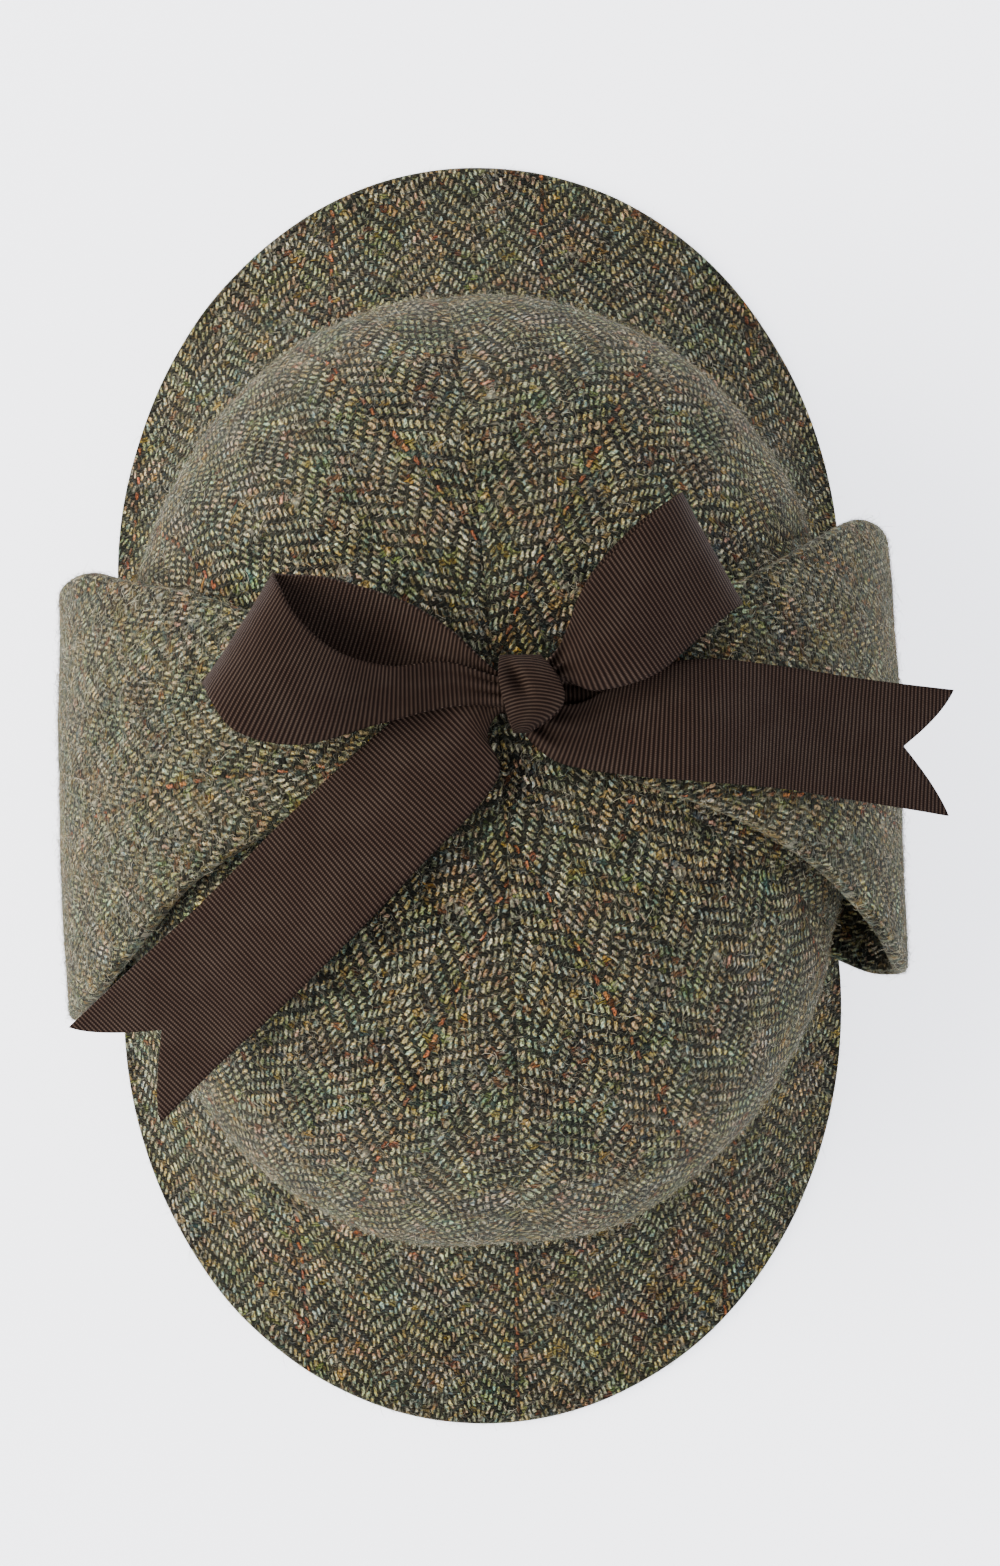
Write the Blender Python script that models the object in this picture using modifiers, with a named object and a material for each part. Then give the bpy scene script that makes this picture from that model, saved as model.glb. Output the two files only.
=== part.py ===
"""Deerstalker hat: six crown gores, two peaks, two tied-up ear flaps and a ribbon bow.

Metres, +Z up. The hat stands on its peaks at Z = 0, its length runs along Y and its front is at -Y.
"""

import math

import bmesh
import bpy
from mathutils import Vector

HAT_NAME = "deerstalker_hat"

# Place of the hat, so that the middle of its whole outline, bow included, is over the origin
HAT_PLACE = Vector((-0.0031, 0.0, 0.0))

# Space between pieces that are sewn or pressed together
SEWN_GAP = 0.0003

# Crown
CROWN_HALF_WIDTH = 0.084
CROWN_HALF_LENGTH = 0.1085
CROWN_SQUARENESS = 2.2
CROWN_FULLNESS = 0.91
CROWN_WALL = 0.0026
CROWN_HEIGHT = 0.131
BAND_HEIGHT = 0.031
BAND_REACH = 0.962
BULGE_HEIGHT = 0.062
BULGE_LEVEL = 0.2
APEX_LEAN = Vector((0.004, 0.009, 0.0))
APEX_LEVEL = 0.99
NORMAL_STEP = 0.004

# Gores: the whole crown is turned a little on its peaks, and each seam lies in a groove
GORE_COUNT = 6
GORE_HALF_SPAN = math.pi / GORE_COUNT
SEAM_TURN = math.radians(4.0)
SEAM_DEPTH = 0.0015
SEAM_SHARPNESS = 6
GORE_COLUMNS = 8
GORE_ROWS = 15
GORE_MIDDLES = {
    "crown_gore_side_right": 0,
    "crown_gore_back_right": 60,
    "crown_gore_back_left": 120,
    "crown_gore_side_left": 180,
    "crown_gore_front_left": 240,
    "crown_gore_front_right": 300,
}

# Peaks: each a crescent between the crown's band and a half ellipse
BACK_PEAK_OUTLINE = {"half_width": 0.086, "depth": 0.0965, "centre": 0.0553}
FRONT_PEAK_OUTLINE = {"half_width": 0.085, "depth": 0.0955, "centre": 0.0553}
PEAK_THICKNESS = 0.004
PEAK_EDGE_HEIGHT = 0.0028
PEAK_END_HEIGHT = 0.026
PEAK_ROOT_SPAN = math.radians(71)
PEAK_EDGE_SPAN = math.radians(109)
PEAK_FLAT_SHARE = 0.62
PEAK_COLUMNS = 34

# Rows of a peak, from the band to the edge: share of the way out, and share of the drop
PEAK_ROWS = (
    (0.00, 0.000),
    (0.06, 0.045),
    (0.22, 0.235),
    (0.42, 0.480),
    (0.62, 0.700),
    (0.80, 0.865),
    (0.92, 0.955),
    (1.00, 1.000),
)

# Ear flaps
FLAP_THICKNESS = 0.0038
FLAP_COLUMNS = 10
FLAP_ROWS = 24
FLAP_LIFT_SHARPNESS = 3

# Rows of a flap, from the band up over the crown to the tip: level on the crown, standoff from the crown,
# half width, distance of its middle along the hat, how closely it clings to the crown's curve, and how
# far its front and back edges lift
RIGHT_FLAP_ROWS = (
    (0.004, 0.0008, 0.0430, 0.0040, 1.00, 0.0000, 0.0000),
    (0.006, 0.0080, 0.0460, 0.0045, 0.75, 0.0000, 0.0000),
    (0.020, 0.0138, 0.0490, 0.0050, 0.45, 0.0000, 0.0000),
    (0.055, 0.0165, 0.0500, 0.0050, 0.25, 0.0010, 0.0000),
    (0.110, 0.0150, 0.0500, 0.0050, 0.25, 0.0025, 0.0000),
    (0.200, 0.0115, 0.0490, 0.0052, 0.45, 0.0035, 0.0005),
    (0.300, 0.0090, 0.0460, 0.0065, 0.65, 0.0035, 0.0005),
    (0.420, 0.0072, 0.0395, 0.0070, 0.82, 0.0025, 0.0005),
    (0.550, 0.0062, 0.0320, 0.0060, 0.92, 0.0010, 0.0000),
    (0.680, 0.0056, 0.0245, 0.0040, 0.95, 0.0000, 0.0000),
    (0.800, 0.0049, 0.0180, 0.0020, 1.00, 0.0000, 0.0000),
    (0.920, 0.0046, 0.0105, 0.0010, 1.00, 0.0000, 0.0000),
)
LEFT_FLAP_ROWS = (
    (0.004, 0.0008, 0.0430, -0.0025, 1.00, 0.0000, 0.0000),
    (0.006, 0.0080, 0.0455, -0.0030, 0.75, 0.0000, 0.0000),
    (0.020, 0.0138, 0.0480, -0.0040, 0.45, 0.0000, 0.0000),
    (0.055, 0.0165, 0.0488, -0.0045, 0.25, 0.0000, 0.0008),
    (0.110, 0.0150, 0.0488, -0.0045, 0.25, 0.0005, 0.0015),
    (0.200, 0.0115, 0.0480, -0.0040, 0.45, 0.0010, 0.0012),
    (0.300, 0.0090, 0.0455, -0.0030, 0.65, 0.0010, 0.0008),
    (0.420, 0.0072, 0.0395, -0.0020, 0.82, 0.0005, 0.0003),
    (0.550, 0.0062, 0.0320, 0.0000, 0.92, 0.0000, 0.0000),
    (0.680, 0.0056, 0.0245, 0.0000, 0.95, 0.0000, 0.0000),
    (0.800, 0.0049, 0.0180, 0.0000, 1.00, 0.0000, 0.0000),
    (0.920, 0.0046, 0.0105, 0.0000, 1.00, 0.0000, 0.0000),
)

# Ribbon
RIBBON_THICKNESS = 0.0009
RIBBON_COLUMNS = 6
LOOP_SECTIONS = 26
TAIL_SECTIONS = 18
TIE_SECTIONS = 6
RIGHT_NOTCH_DEPTH = 0.0093
LEFT_NOTCH_DEPTH = 0.0112

# Knot: a ring of ribbon round the gathered ribbons
KNOT_CENTRE = Vector((0.0116, 0.0114, 0.1437))
KNOT_HALF_LENGTH = 0.0064
KNOT_HALF_WIDTH = 0.0082
KNOT_HALF_HEIGHT = 0.0052
KNOT_TAPER = 0.15
KNOT_WALL = 0.0012
KNOT_TURN = math.radians(-8)
KNOT_SQUARENESS = 2.8
KNOT_AROUND = 28
KNOT_ACROSS = 6

# Rows of each ribbon, one for a section across it: one edge x, y, z, then the other edge x, y, z,
# then how far its middle stands above the line between its edges
LEFT_LOOP_ROWS = (
    (0.0110, 0.0139, 0.1456, 0.0110, 0.0089, 0.1456, 0.0000),
    (0.0045, 0.0150, 0.1456, 0.0045, 0.0090, 0.1456, 0.0000),
    (-0.0070, 0.0182, 0.1452, -0.0065, 0.0088, 0.1450, -0.0010),
    (-0.0190, 0.0173, 0.1478, -0.0198, 0.0053, 0.1472, -0.0006),
    (-0.0302, 0.0204, 0.1525, -0.0378, 0.0005, 0.1502, 0.0010),
    (-0.0378, 0.0270, 0.1550, -0.0508, 0.0031, 0.1525, 0.0012),
    (-0.0417, 0.0335, 0.1540, -0.0564, 0.0097, 0.1515, 0.0006),
    (-0.0432, 0.0370, 0.1485, -0.0582, 0.0140, 0.1460, 0.0000),
    (-0.0417, 0.0372, 0.1425, -0.0570, 0.0135, 0.1400, 0.0000),
    (-0.0315, 0.0362, 0.1400, -0.0421, 0.0112, 0.1385, -0.0010),
    (-0.0176, 0.0320, 0.1402, -0.0243, 0.0106, 0.1395, -0.0010),
    (-0.0058, 0.0250, 0.1428, -0.0085, 0.0105, 0.1424, -0.0006),
    (0.0045, 0.0160, 0.1437, 0.0045, 0.0085, 0.1437, 0.0000),
    (0.0110, 0.0150, 0.1437, 0.0110, 0.0080, 0.1437, 0.0000),
)
RIGHT_LOOP_ROWS = (
    (0.0122, 0.0137, 0.1447, 0.0122, 0.0082, 0.1447, 0.0000),
    (0.0190, 0.0138, 0.1449, 0.0190, 0.0080, 0.1447, 0.0000),
    (0.0208, 0.0235, 0.1472, 0.0268, 0.0100, 0.1450, 0.0010),
    (0.0232, 0.0342, 0.1480, 0.0373, 0.0152, 0.1440, 0.0018),
    (0.0333, 0.0452, 0.1455, 0.0471, 0.0229, 0.1412, 0.0018),
    (0.0412, 0.0525, 0.1412, 0.0544, 0.0292, 0.1372, 0.0010),
    (0.0443, 0.0553, 0.1355, 0.0571, 0.0313, 0.1318, 0.0000),
    (0.0425, 0.0549, 0.1305, 0.0549, 0.0302, 0.1275, 0.0000),
    (0.0333, 0.0476, 0.1345, 0.0460, 0.0240, 0.1335, 0.0000),
    (0.0240, 0.0366, 0.1390, 0.0362, 0.0170, 0.1384, 0.0000),
    (0.0215, 0.0240, 0.1418, 0.0262, 0.0115, 0.1405, 0.0000),
    (0.0190, 0.0138, 0.1427, 0.0190, 0.0082, 0.1425, 0.0000),
    (0.0122, 0.0137, 0.1427, 0.0122, 0.0082, 0.1427, 0.0000),
)
RIGHT_TAIL_ROWS = (
    (0.0140, 0.0110, 0.1376, 0.0100, 0.0030, 0.1376, 0.0000),
    (0.0225, 0.0124, 0.1377, 0.0171, -0.0028, 0.1372, 0.0008),
    (0.0345, 0.0165, 0.1362, 0.0315, -0.0055, 0.1345, 0.0010),
    (0.0480, 0.0195, 0.1335, 0.0479, -0.0067, 0.1305, 0.0012),
    (0.0662, 0.0186, 0.1240, 0.0646, -0.0077, 0.1205, 0.0006),
    (0.0838, 0.0166, 0.1145, 0.0814, -0.0098, 0.1115, 0.0000),
    (0.1049, 0.0148, 0.1045, 0.1038, -0.0129, 0.1015, -0.0008),
)
LEFT_TAIL_ROWS = (
    (0.0110, 0.0145, 0.1418, 0.0110, 0.0080, 0.1418, 0.0000),
    (0.0045, 0.0145, 0.1418, 0.0045, 0.0075, 0.1418, 0.0000),
    (-0.0030, 0.0124, 0.1412, 0.0020, 0.0020, 0.1412, 0.0010),
    (-0.0095, 0.0105, 0.1405, 0.0045, -0.0045, 0.1400, 0.0016),
    (-0.0178, 0.0065, 0.1400, 0.0003, -0.0117, 0.1390, 0.0016),
    (-0.0297, -0.0036, 0.1380, -0.0106, -0.0228, 0.1365, 0.0008),
    (-0.0429, -0.0155, 0.1340, -0.0248, -0.0371, 0.1320, 0.0004),
    (-0.0607, -0.0322, 0.1260, -0.0414, -0.0528, 0.1230, 0.0000),
    (-0.0765, -0.0458, 0.1170, -0.0561, -0.0655, 0.1140, -0.0004),
    (-0.0904, -0.0579, 0.1080, -0.0705, -0.0789, 0.1050, -0.0010),
)
LEFT_TIE_ROWS = (
    (-0.0190, 0.0180, 0.1353, -0.0190, 0.0000, 0.1353, 0.0004),
    (-0.0090, 0.0160, 0.1362, -0.0090, 0.0040, 0.1362, 0.0004),
    (0.0000, 0.0140, 0.1366, 0.0000, 0.0070, 0.1366, 0.0000),
    (0.0080, 0.0130, 0.1368, 0.0080, 0.0080, 0.1368, 0.0000),
)
RIGHT_TIE_ROWS = (
    (0.0320, 0.0190, 0.1335, 0.0320, 0.0020, 0.1335, 0.0004),
    (0.0250, 0.0165, 0.1352, 0.0250, 0.0050, 0.1352, 0.0002),
    (0.0150, 0.0140, 0.1364, 0.0150, 0.0080, 0.1364, 0.0000),
)

# Surface that the hat stands on, used to flatten the peaks where they rest
TABLE_SIZE = 0.5
TABLE_DEPTH = 0.02

# Linear colour and roughness of each material
TWEED_COLOR = (0.105, 0.098, 0.072, 1.0)
TWEED_ROUGHNESS = 0.95
RIBBON_COLOR = (0.021, 0.012, 0.009, 1.0)
RIBBON_ROUGHNESS = 0.6


def clear_scene():
    """Remove every object, so that the file holds the hat alone."""
    for thing in list(bpy.data.objects):
        bpy.data.objects.remove(thing, do_unlink=True)


def make_collection(name):
    """Return a new collection in the scene."""
    collection = bpy.data.collections.new(name)
    bpy.context.scene.collection.children.link(collection)
    return collection


def make_material(name, color, roughness):
    """Return a plain cloth material."""
    material = bpy.data.materials.new(name)
    material.use_nodes = True
    shader = material.node_tree.nodes["Principled BSDF"]
    shader.inputs["Base Color"].default_value = color
    shader.inputs["Roughness"].default_value = roughness
    shader.inputs["Metallic"].default_value = 0.0
    return material


def smooth_row(rows, share):
    """Read a table between its rows on a smooth curve, with share running from 0 to 1."""
    place = min(max(share, 0.0), 1.0) * (len(rows) - 1)
    index = min(int(place), len(rows) - 2)
    step = place - index
    before = rows[max(index - 1, 0)]
    start = rows[index]
    end = rows[index + 1]
    after = rows[min(index + 2, len(rows) - 1)]
    values = []
    for p, q, r, s in zip(before, start, end, after):
        slope_in = (r - p) / 2
        slope_out = (s - q) / 2
        cubic = 2 * (q - r) + slope_in + slope_out
        square = 3 * (r - q) - 2 * slope_in - slope_out
        values.append(((cubic * step + square) * step + slope_in) * step + q)
    return values


def add_sheet(name, columns, rows, place, material, home, collection):
    """Make an open sheet from a grid, with place giving each point from its two shares of 0 to 1."""
    bm = bmesh.new()
    bmesh.ops.create_grid(bm, x_segments=columns, y_segments=rows, size=1)
    for vert in bm.verts:
        vert.co = place((vert.co.x + 1) / 2, (vert.co.y + 1) / 2)
    mesh = bpy.data.meshes.new(name)
    bm.to_mesh(mesh)
    bm.free()
    mesh.shade_smooth()
    mesh.materials.append(material)
    sheet = bpy.data.objects.new(name, mesh)
    sheet.parent = home
    collection.objects.link(sheet)
    return sheet


def thicken(sheet, thickness, offset):
    """Give a sheet its wall: offset -1 keeps the sheet as the outer face, 0 as the middle."""
    wall = sheet.modifiers.new("wall", "SOLIDIFY")
    wall.thickness = thickness
    wall.offset = offset
    wall.use_quality_normals = True


def crown_profile(level):
    """Share of the full plan outline, and height, at a level from the band at 0 to the apex at 1."""
    if level < BULGE_LEVEL:
        rise = level / BULGE_LEVEL
        flare = (1 - BAND_REACH) * (1 + math.cos(math.pi * rise)) / 2
        return 1 - flare, BAND_HEIGHT + (BULGE_HEIGHT - BAND_HEIGHT) * rise
    turn = math.pi / 2 * (level - BULGE_LEVEL) / (1 - BULGE_LEVEL)
    height = BULGE_HEIGHT + (CROWN_HEIGHT - BULGE_HEIGHT) * math.sin(turn)
    return math.cos(turn) ** CROWN_FULLNESS, height


def crown_lean(height):
    """Sideways shift of the crown's middle at a height."""
    share = (height - BAND_HEIGHT) / (CROWN_HEIGHT - BAND_HEIGHT)
    return APEX_LEAN * share ** 2


def crown_point(angle, level):
    """Point of the crown's outer face at an angle from +X and a level."""
    reach, height = crown_profile(level)
    across = (abs(math.cos(angle)) / CROWN_HALF_WIDTH) ** CROWN_SQUARENESS
    along = (abs(math.sin(angle)) / CROWN_HALF_LENGTH) ** CROWN_SQUARENESS
    radius = reach * (across + along) ** (-1 / CROWN_SQUARENESS)
    point = Vector((radius * math.cos(angle), radius * math.sin(angle), height))
    return point + crown_lean(height)


def crown_normal(angle, level):
    """Outward direction of the crown's face."""
    around = crown_point(angle + NORMAL_STEP, level) - crown_point(angle - NORMAL_STEP, level)
    upward = crown_point(angle, level + NORMAL_STEP) - crown_point(angle, level - NORMAL_STEP)
    return around.cross(upward).normalized()


def gore_place(middle):
    """Placing function of the gore whose middle is at an angle."""

    def place(share_across, share_up):
        level = APEX_LEVEL * share_up
        across = 2 * share_across - 1
        reach = crown_profile(level)[0]
        half_span = GORE_HALF_SPAN - SEWN_GAP / 2 / (reach * CROWN_HALF_WIDTH)
        angle = middle + half_span * across
        groove = SEAM_DEPTH * abs(across) ** SEAM_SHARPNESS
        return crown_point(angle, level) - crown_normal(angle, level) * groove

    return place


def build_crown(material, home, collection):
    """Make the six gores."""
    for name, degrees in GORE_MIDDLES.items():
        place = gore_place(math.radians(degrees) + SEAM_TURN)
        gore = add_sheet(name, GORE_COLUMNS, GORE_ROWS, place, material, home, collection)
        thicken(gore, CROWN_WALL, -1)


def peak_place(side, outline):
    """Placing function of the back peak (side 1) or the front peak (side -1)."""
    middle = side * math.pi / 2

    def place(share_across, share_out):
        sweep = 1 - 2 * share_across
        root_angle = middle + PEAK_ROOT_SPAN * sweep
        edge_angle = middle + PEAK_EDGE_SPAN * sweep
        root = crown_point(root_angle, 0)
        root.z = BAND_HEIGHT - SEWN_GAP
        row = share_out * len(PEAK_ROWS)
        if row < 1:
            inward = crown_normal(root_angle, 0) * CROWN_WALL * (1 - row)
            return root - Vector((inward.x, inward.y, 0))
        way, drop = smooth_row(PEAK_ROWS, (row - 1) / (len(PEAK_ROWS) - 1))
        edge_x = outline["half_width"] * math.cos(edge_angle)
        edge_y = side * outline["centre"] + outline["depth"] * math.sin(edge_angle)
        rise = max(0, (abs(sweep) - PEAK_FLAT_SHARE) / (1 - PEAK_FLAT_SHARE))
        lift = (PEAK_END_HEIGHT - PEAK_EDGE_HEIGHT) * rise ** 2 * (3 - 2 * rise)
        edge = Vector((edge_x, edge_y, PEAK_EDGE_HEIGHT + lift))
        point = root.lerp(edge, way)
        point.z = root.z + (edge.z - root.z) * drop
        return point

    return place


def add_table_cutter(collection):
    """Make the block under the hat whose top is the surface that it stands on."""
    bpy.ops.mesh.primitive_cube_add(size=1, location=(0, 0, -TABLE_DEPTH / 2))
    cutter = bpy.context.object
    cutter.name = "table_cutter"
    cutter.scale = (TABLE_SIZE, TABLE_SIZE, TABLE_DEPTH)
    cutter.display_type = "WIRE"
    cutter.hide_render = True
    for owner in list(cutter.users_collection):
        owner.objects.unlink(cutter)
    collection.objects.link(cutter)
    return cutter


def build_peaks(material, home, collection, cutter):
    """Make the two peaks, flattened along their edges where they rest."""
    for name, side, outline in (
        ("back_peak", 1, BACK_PEAK_OUTLINE),
        ("front_peak", -1, FRONT_PEAK_OUTLINE),
    ):
        place = peak_place(side, outline)
        peak = add_sheet(name, PEAK_COLUMNS, len(PEAK_ROWS), place, material, home, collection)
        thicken(peak, PEAK_THICKNESS, -1)
        rest = peak.modifiers.new("rest", "BOOLEAN")
        rest.operation = "DIFFERENCE"
        rest.solver = "EXACT"
        rest.object = cutter


def crown_side_angle(level, along, side):
    """Angle of the crown's point that lies a distance along the hat from the middle of a level."""
    reach = crown_profile(level)[0]
    share = min(abs(along) / (CROWN_HALF_LENGTH * reach), 1)
    across = CROWN_HALF_WIDTH * reach * (1 - share ** CROWN_SQUARENESS) ** (1 / CROWN_SQUARENESS)
    return math.atan2(along, side * across)


def flap_place(rows, side):
    """Placing function of the right ear flap (side 1) or the left one (side -1)."""

    def place(share_across, share_up):
        across = side * (2 * share_across - 1)
        level, standoff, half_width, offset, cling, front_lift, back_lift = smooth_row(rows, share_up)
        lift = back_lift if across > 0 else front_lift
        lifted = standoff + lift * abs(across) ** FLAP_LIFT_SHARPNESS
        middle_angle = crown_side_angle(level, offset, side)
        point_angle = crown_side_angle(level, offset + across * half_width, side)
        straight = crown_point(middle_angle, level) + crown_normal(middle_angle, level) * lifted
        straight.y += across * half_width
        draped = crown_point(point_angle, level) + crown_normal(point_angle, level) * lifted
        return straight.lerp(draped, cling)

    return place


def build_flaps(material, home, collection):
    """Make the two ear flaps."""
    for name, rows, side in (
        ("ear_flap_right", RIGHT_FLAP_ROWS, 1),
        ("ear_flap_left", LEFT_FLAP_ROWS, -1),
    ):
        place = flap_place(rows, side)
        flap = add_sheet(name, FLAP_COLUMNS, FLAP_ROWS, place, material, home, collection)
        thicken(flap, FLAP_THICKNESS, -1)


def ribbon_place(rows, notch_share):
    """Placing function of a ribbon, whose last end is cut to a V that takes a share of its length."""

    def place(share_across, share_along):
        across = 2 * share_across - 1
        kept = 1 - notch_share * (1 - abs(across))
        row = smooth_row(rows, share_along * kept)
        first = Vector(row[0:3])
        second = Vector(row[3:6])
        point = first.lerp(second, share_across)
        point.z += row[6] * (1 - across ** 2)
        return point

    return place


def ribbon_length(rows):
    """Length of a ribbon along its middle, measured from row to row."""
    middles = [(Vector(row[0:3]) + Vector(row[3:6])) / 2 for row in rows]
    return sum((end - start).length for start, end in zip(middles, middles[1:]))


def build_bow(material, home, collection):
    """Make the loops, tails and ties."""
    for name, rows, sections, notch in (
        ("bow_loop_left", LEFT_LOOP_ROWS, LOOP_SECTIONS, 0),
        ("bow_loop_right", RIGHT_LOOP_ROWS, LOOP_SECTIONS, 0),
        ("ribbon_tail_left", LEFT_TAIL_ROWS, TAIL_SECTIONS, LEFT_NOTCH_DEPTH),
        ("ribbon_tail_right", RIGHT_TAIL_ROWS, TAIL_SECTIONS, RIGHT_NOTCH_DEPTH),
        ("flap_tie_left", LEFT_TIE_ROWS, TIE_SECTIONS, 0),
        ("flap_tie_right", RIGHT_TIE_ROWS, TIE_SECTIONS, 0),
    ):
        place = ribbon_place(rows, notch / ribbon_length(rows))
        ribbon = add_sheet(name, RIBBON_COLUMNS, sections, place, material, home, collection)
        thicken(ribbon, RIBBON_THICKNESS, 0)


def knot_place(share_around, share_across):
    """Place a point of the knot's ring, about the knot's own middle."""
    angle = 2 * math.pi * share_around
    across = 2 * share_across - 1
    barrel = 1 - KNOT_TAPER * across ** 2
    side = math.copysign(abs(math.cos(angle)) ** (2 / KNOT_SQUARENESS), math.cos(angle))
    rise = math.copysign(abs(math.sin(angle)) ** (2 / KNOT_SQUARENESS), math.sin(angle))
    return Vector((
        KNOT_HALF_LENGTH * across,
        KNOT_HALF_WIDTH * barrel * side,
        KNOT_HALF_HEIGHT * barrel * rise,
    ))


def build_knot(material, home, collection):
    """Make the knot as a closed ring of ribbon."""
    knot = add_sheet("bow_knot", KNOT_AROUND, KNOT_ACROSS, knot_place, material, home, collection)
    knot.location = KNOT_CENTRE
    knot.rotation_euler = (0, 0, KNOT_TURN)
    join = knot.modifiers.new("join", "WELD")
    join.merge_threshold = 0.0001
    knot.modifiers.move(knot.modifiers.find("join"), 0)
    thicken(knot, KNOT_WALL, -1)


def build_hat():
    """Make the whole hat."""
    clear_scene()
    pieces = make_collection(HAT_NAME)
    guides = make_collection("guides")
    home = bpy.data.objects.new("hat_place", None)
    home.location = HAT_PLACE
    pieces.objects.link(home)
    tweed = make_material("tweed", TWEED_COLOR, TWEED_ROUGHNESS)
    grosgrain = make_material("grosgrain", RIBBON_COLOR, RIBBON_ROUGHNESS)
    build_crown(tweed, home, pieces)
    build_peaks(tweed, home, pieces, add_table_cutter(guides))
    build_flaps(tweed, home, pieces)
    build_bow(grosgrain, home, pieces)
    build_knot(grosgrain, home, pieces)


build_hat()
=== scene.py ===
"""Dress the deerstalker hat: herringbone tweed with wool fuzz, a grosgrain bow, and a pale studio.

Metres, +Z up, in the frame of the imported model. The hat stands on its peaks at Z = 0, its length runs
along Y and its front is at -Y. Each class repeats the sizes of the solid that its pieces stand for.
"""

import logging
import math
from collections.abc import Callable, Iterator, Sequence
from contextlib import contextmanager
from dataclasses import dataclass, field
from enum import Enum
from functools import partial

import bmesh
import bpy
import numpy as np
from mathutils import Matrix, Vector, noise


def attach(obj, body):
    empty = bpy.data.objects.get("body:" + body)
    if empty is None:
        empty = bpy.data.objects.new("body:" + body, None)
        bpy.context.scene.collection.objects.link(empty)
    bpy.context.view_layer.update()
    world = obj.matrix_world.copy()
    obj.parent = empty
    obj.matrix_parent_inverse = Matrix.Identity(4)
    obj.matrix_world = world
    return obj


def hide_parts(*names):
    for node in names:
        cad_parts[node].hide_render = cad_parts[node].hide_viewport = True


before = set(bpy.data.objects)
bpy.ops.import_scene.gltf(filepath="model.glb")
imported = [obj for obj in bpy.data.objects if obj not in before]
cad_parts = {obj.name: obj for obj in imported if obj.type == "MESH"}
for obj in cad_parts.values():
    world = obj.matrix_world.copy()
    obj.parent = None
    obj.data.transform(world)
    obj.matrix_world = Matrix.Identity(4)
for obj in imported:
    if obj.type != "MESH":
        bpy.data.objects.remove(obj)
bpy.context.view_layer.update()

BODY = "root"
LOG = logging.getLogger("deerstalker")

MM = 0.001
HAT_PLACE = Vector((-0.0031, 0.0, 0.0))
SEWN_GAP = 0.3 * MM
CROWN_WALL_MM = 2.6

# Height of the photograph's frame, in pixels
IMAGE_HEIGHT = 1566

Place = Callable[[float, float], Vector]
Flat = Callable[[float, float], tuple[float, float]]
Table = tuple[tuple[float, ...], ...]
# Width and depth of uneven lumps, for each size of lump
Lumps = tuple[tuple[float, float], ...]
Socket = bpy.types.NodeSocket
AddNode = Callable[..., Socket]
# Two values that come in, and the two that they turn into
Spread = tuple[float, float, float, float]
Sockets = dict[str, Socket]
Object = bpy.types.Object
Material = bpy.types.Material


class Slot(Enum):
    """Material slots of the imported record."""

    TWEED = "tweed"
    RIBBON = "ribbon"


class HatEnd(Enum):
    """The two peaks' ends of the hat, as signs along Y."""

    FRONT = -1
    BACK = 1


class HatSide(Enum):
    """The two flaps' sides of the hat, as signs along X."""

    LEFT = -1
    RIGHT = 1


class Held(Enum):
    """How a piece of cloth is held."""

    FOLDED = "folded"
    LAID = "laid"


def to_linear(code: str) -> tuple[float, float, float, float]:
    """Turn an sRGB hex colour into a linear one.

    Args:
        code: Six hex digits after a hash sign.

    Returns:
        Red, green, blue and an alpha of 1.
    """
    parts = [int(code[start:start + 2], 16) / 255 for start in (1, 3, 5)]
    red, green, blue = (p / 12.92 if p <= 0.04045 else ((p + 0.055) / 1.055) ** 2.4 for p in parts)
    return red, green, blue, 1.0


def fill_inputs(node: bpy.types.Node, inputs: Sequence | dict) -> None:
    """Link sockets to a node's inputs and set values on them.

    Args:
        node: The node.
        inputs: Values or sockets, in order or by number or name. None leaves an input as it is.
    """
    for key, value in inputs.items() if isinstance(inputs, dict) else enumerate(inputs):
        if isinstance(value, Socket):
            node.id_data.links.new(value, node.inputs[key])
        elif value is not None:
            node.inputs[key].default_value = value


def add_node(tree: bpy.types.NodeTree, kind: str, inputs: Sequence | dict = (), **settings) -> Socket:
    """Add a shader node with its settings and links.

    Args:
        tree: Node tree that takes the node.
        kind: The node's type, without its leading ShaderNode, and its operation where it has one.
        inputs: Values or sockets for the node's inputs, in order or by number or name.
        settings: The node's own properties. For a colour ramp, stops gives its places and colours, and
            interpolation how it goes between them.

    Returns:
        The node's first output that is in use, or None where it has none.
    """
    kind, _, operation = kind.partition(" ")
    node = tree.nodes.new("ShaderNode" + kind)
    if operation:
        node.operation = operation
    for name, value in settings.items():
        if name == "stops":
            ramp = node.color_ramp
            while len(ramp.elements) < len(value):
                ramp.elements.new(0.5)
            for element, (place, color) in zip(ramp.elements, value):
                element.position = place
                element.color = color
        elif name == "interpolation":
            node.color_ramp.interpolation = value
        else:
            setattr(node, name, value)
    fill_inputs(node, inputs)
    return next((socket for socket in node.outputs if socket.enabled), None)


def new_material(name: str) -> tuple[Material, AddNode, bpy.types.Node]:
    """Make a material, and give it with what adds its nodes and with its Principled shader.

    Args:
        name: The material's name.

    Returns:
        The material, what adds a node to it, and its shader.
    """
    material = bpy.data.materials.new(name)
    material.use_nodes = True
    tree = material.node_tree
    return material, partial(add_node, tree), tree.nodes["Principled BSDF"]


def even_stops(codes: Sequence[str]) -> list[tuple[float, tuple]]:
    """Spread hex colours evenly over a ramp."""
    return [(index / len(codes), to_linear(code)) for index, code in enumerate(codes)]


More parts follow.
